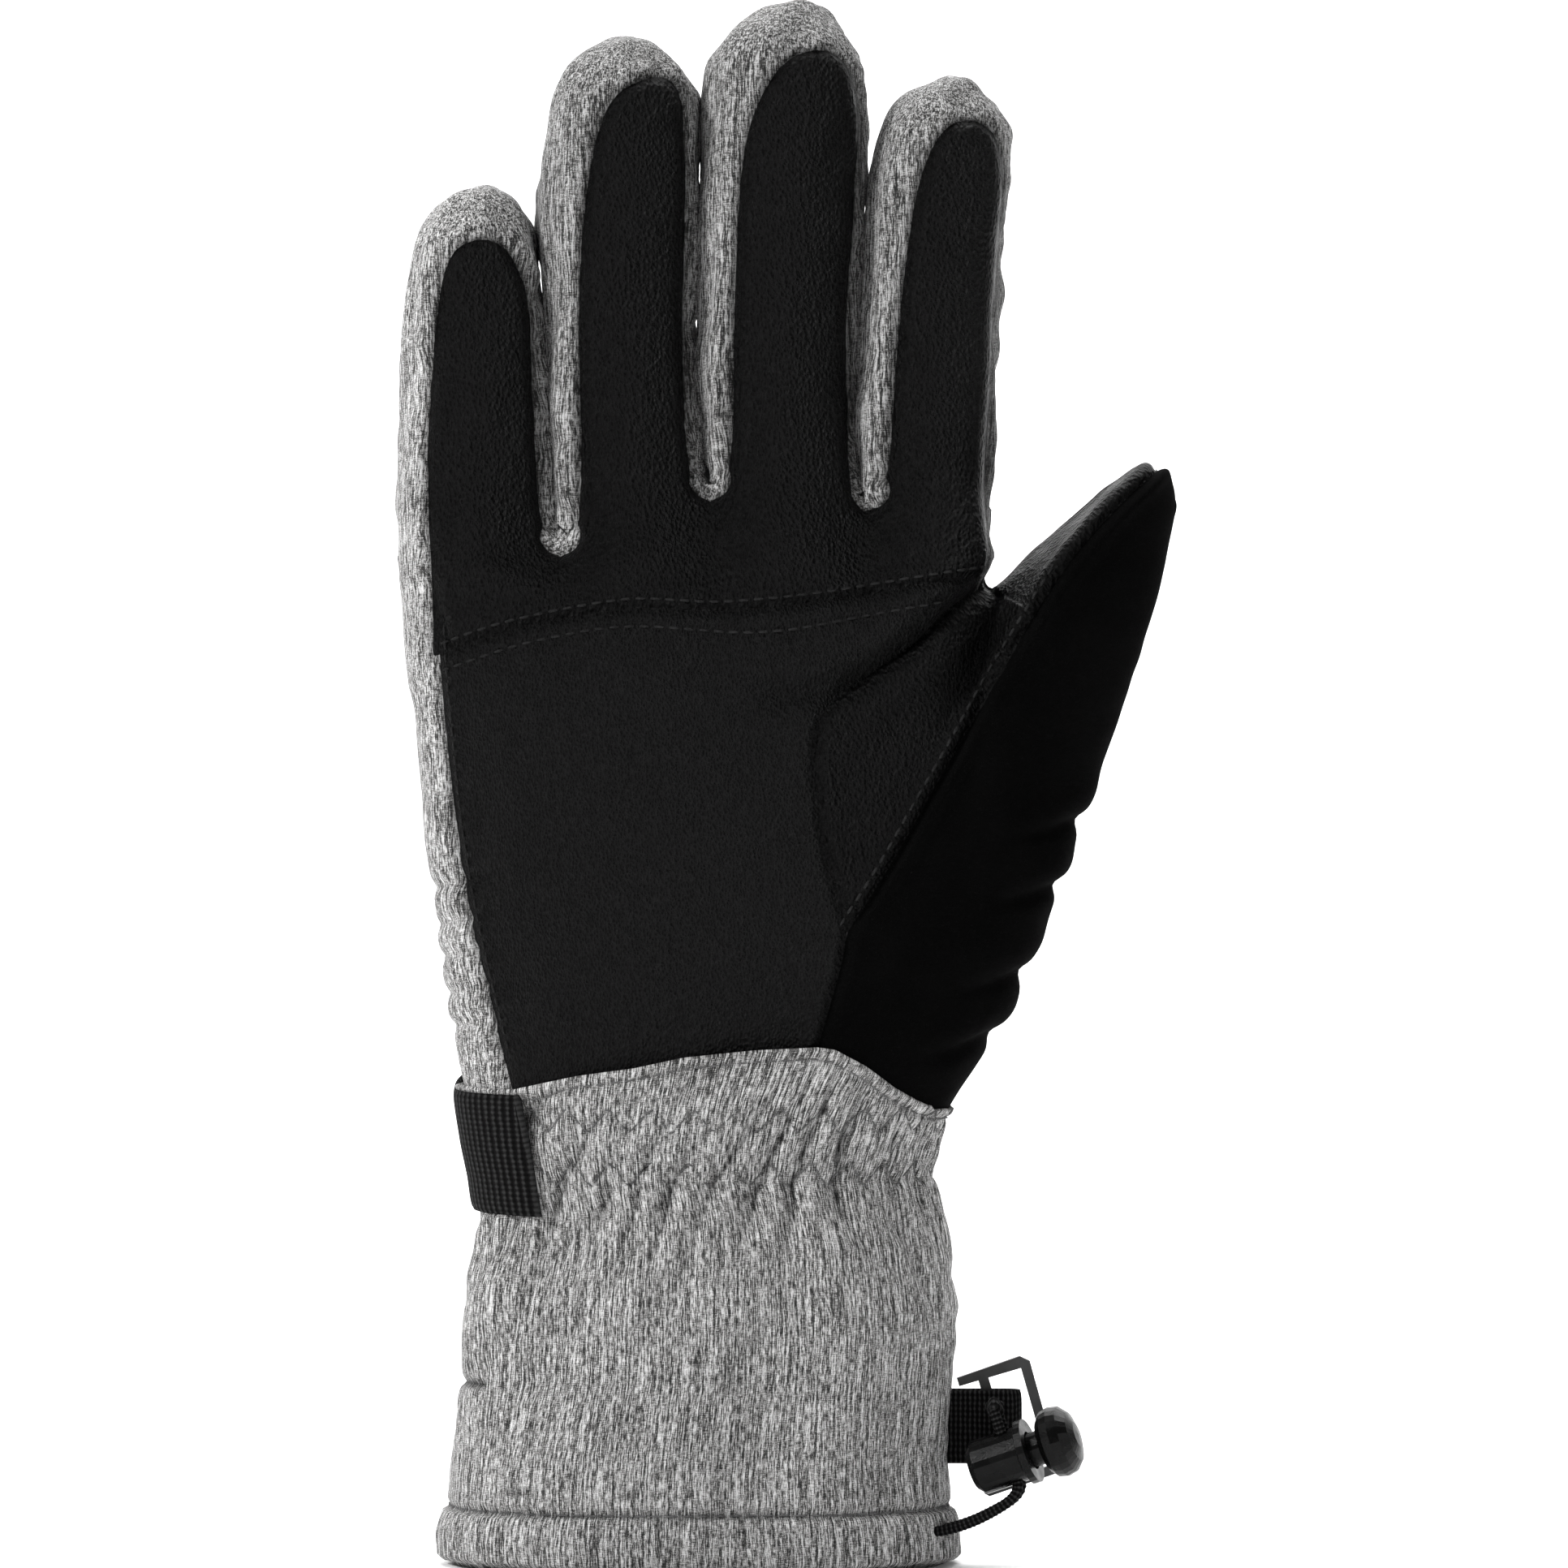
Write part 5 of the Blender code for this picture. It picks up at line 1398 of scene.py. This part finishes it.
# the two ends tied together: a small lumpy knot
def knotPiece(name, centre, axis, radius, length, material):
    points = []
    axis = Vector(axis).normalized()
    side = axis.orthogonal().normalized()
    up = axis.cross(side)
    rings, sides = 13, 20
    for r in range(rings):
        t = r / (rings - 1)
        size = radius * math.sin(math.pi * min(max(t, 0.04), 0.96)) ** 0.6
        for c in range(sides):
            a = 2 * math.pi * c / sides
            lump = 1 + 0.16 * math.sin(2 * a + 9 * t) + 0.10 * math.sin(3 * a - 6 * t)
            out = (side * math.cos(a) + up * math.sin(a)) * size * lump
            p = Vector(centre) + axis * ((t - 0.5) * length) + out
            points.append(tuple(p))
    obj = newObject(name, points, tubeFaces(rings, sides))
    obj.data.materials.append(material)
    return obj


knotCentre = (strandEnds[0][1] + strandEnds[1][1]) / 2
knot = knotPiece("drawcord_knot", knotCentre, strandSide, radius=1.7, length=4.4, material=braid)
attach(knot, "gauntlet")

# hard parts keep their made shapes and get moulded finishes
for node, look in (("cord_lock_barrel", blackPlastic), ("cord_lock_button", blackPlastic),
                   ("cord_lock_spring", springWire), ("pair_clip", greyPlastic)):
    mesh = frame["nodes"][node].data
    mesh.materials.clear()
    mesh.materials.append(look)
print("hardware done")


# floor and light
studio = {
    "floor": 0.93, "sky": 0.12,
    "lights": {  # power, place, size and where it points
        "keyLight": (29, (-1.3, -0.8, 1.1), (0.42, 0.42), (0, 0, 0.15)),
        "fillLight": (4, (1.35, -0.95, 0.5), (0.7, 1.0), (0, 0, 0.15)),
        "topLight": (7, (0.1, -0.25, 1.6), (1.0, 0.6), (0, 0, 0.15)),
        "backdropLight": (115, (0, 1.0, 2.2), (3.4, 1.6), (0, 1.5, 0)),
    },
}


# floor that curves up into a plain wall well behind the glove
def sweep():
    profile = [(-2.4, 0), (1.4, 0)]
    profile += [(1.4 + 0.6 * math.sin(a), 0.6 - 0.6 * math.cos(a))
                for a in np.linspace(0.1, math.pi / 2, 12)]
    profile.append((2.0, 3.4))
    points, faces = [], []
    for y, z in profile:
        points += [(-3200, y * 1000, z * 1000), (3200, y * 1000, z * 1000)]
    for k in range(len(profile) - 1):
        faces.append((2 * k, 2 * k + 1, 2 * k + 3, 2 * k + 2))
    obj = newObject("floor", points, faces)
    n = Nodes("paperFloor")
    paper = n.noise(n.laid((1, 1, 1)), scale=30, detail=3)
    colour = n.ramp(paper, [(0.3, grey(studio["floor"] - 0.01)), (0.7, grey(studio["floor"]))])
    obj.data.materials.append(n.done(colour, 0.9, 0.5))


sweep()
world = bpy.data.worlds.new("studioWorld")
world.use_nodes = True
world.node_tree.nodes["Background"].inputs["Color"].default_value = (1, 1, 1, 1)
world.node_tree.nodes["Background"].inputs["Strength"].default_value = studio["sky"]
bpy.context.scene.world = world


def softLight(name, power, place, size, aim):
    data = bpy.data.lights.new(name, "AREA")
    data.energy = power
    data.shape = "RECTANGLE"
    data.size, data.size_y = size
    light = bpy.data.objects.new(name, data)
    light.location = place
    light.rotation_euler = (Vector(aim) - Vector(place)).to_track_quat("-Z", "Y").to_euler()
    bpy.context.scene.collection.objects.link(light)


for name, light in studio["lights"].items():
    softLight(name, *light)
bpy.context.scene.view_settings.view_transform = "Standard"
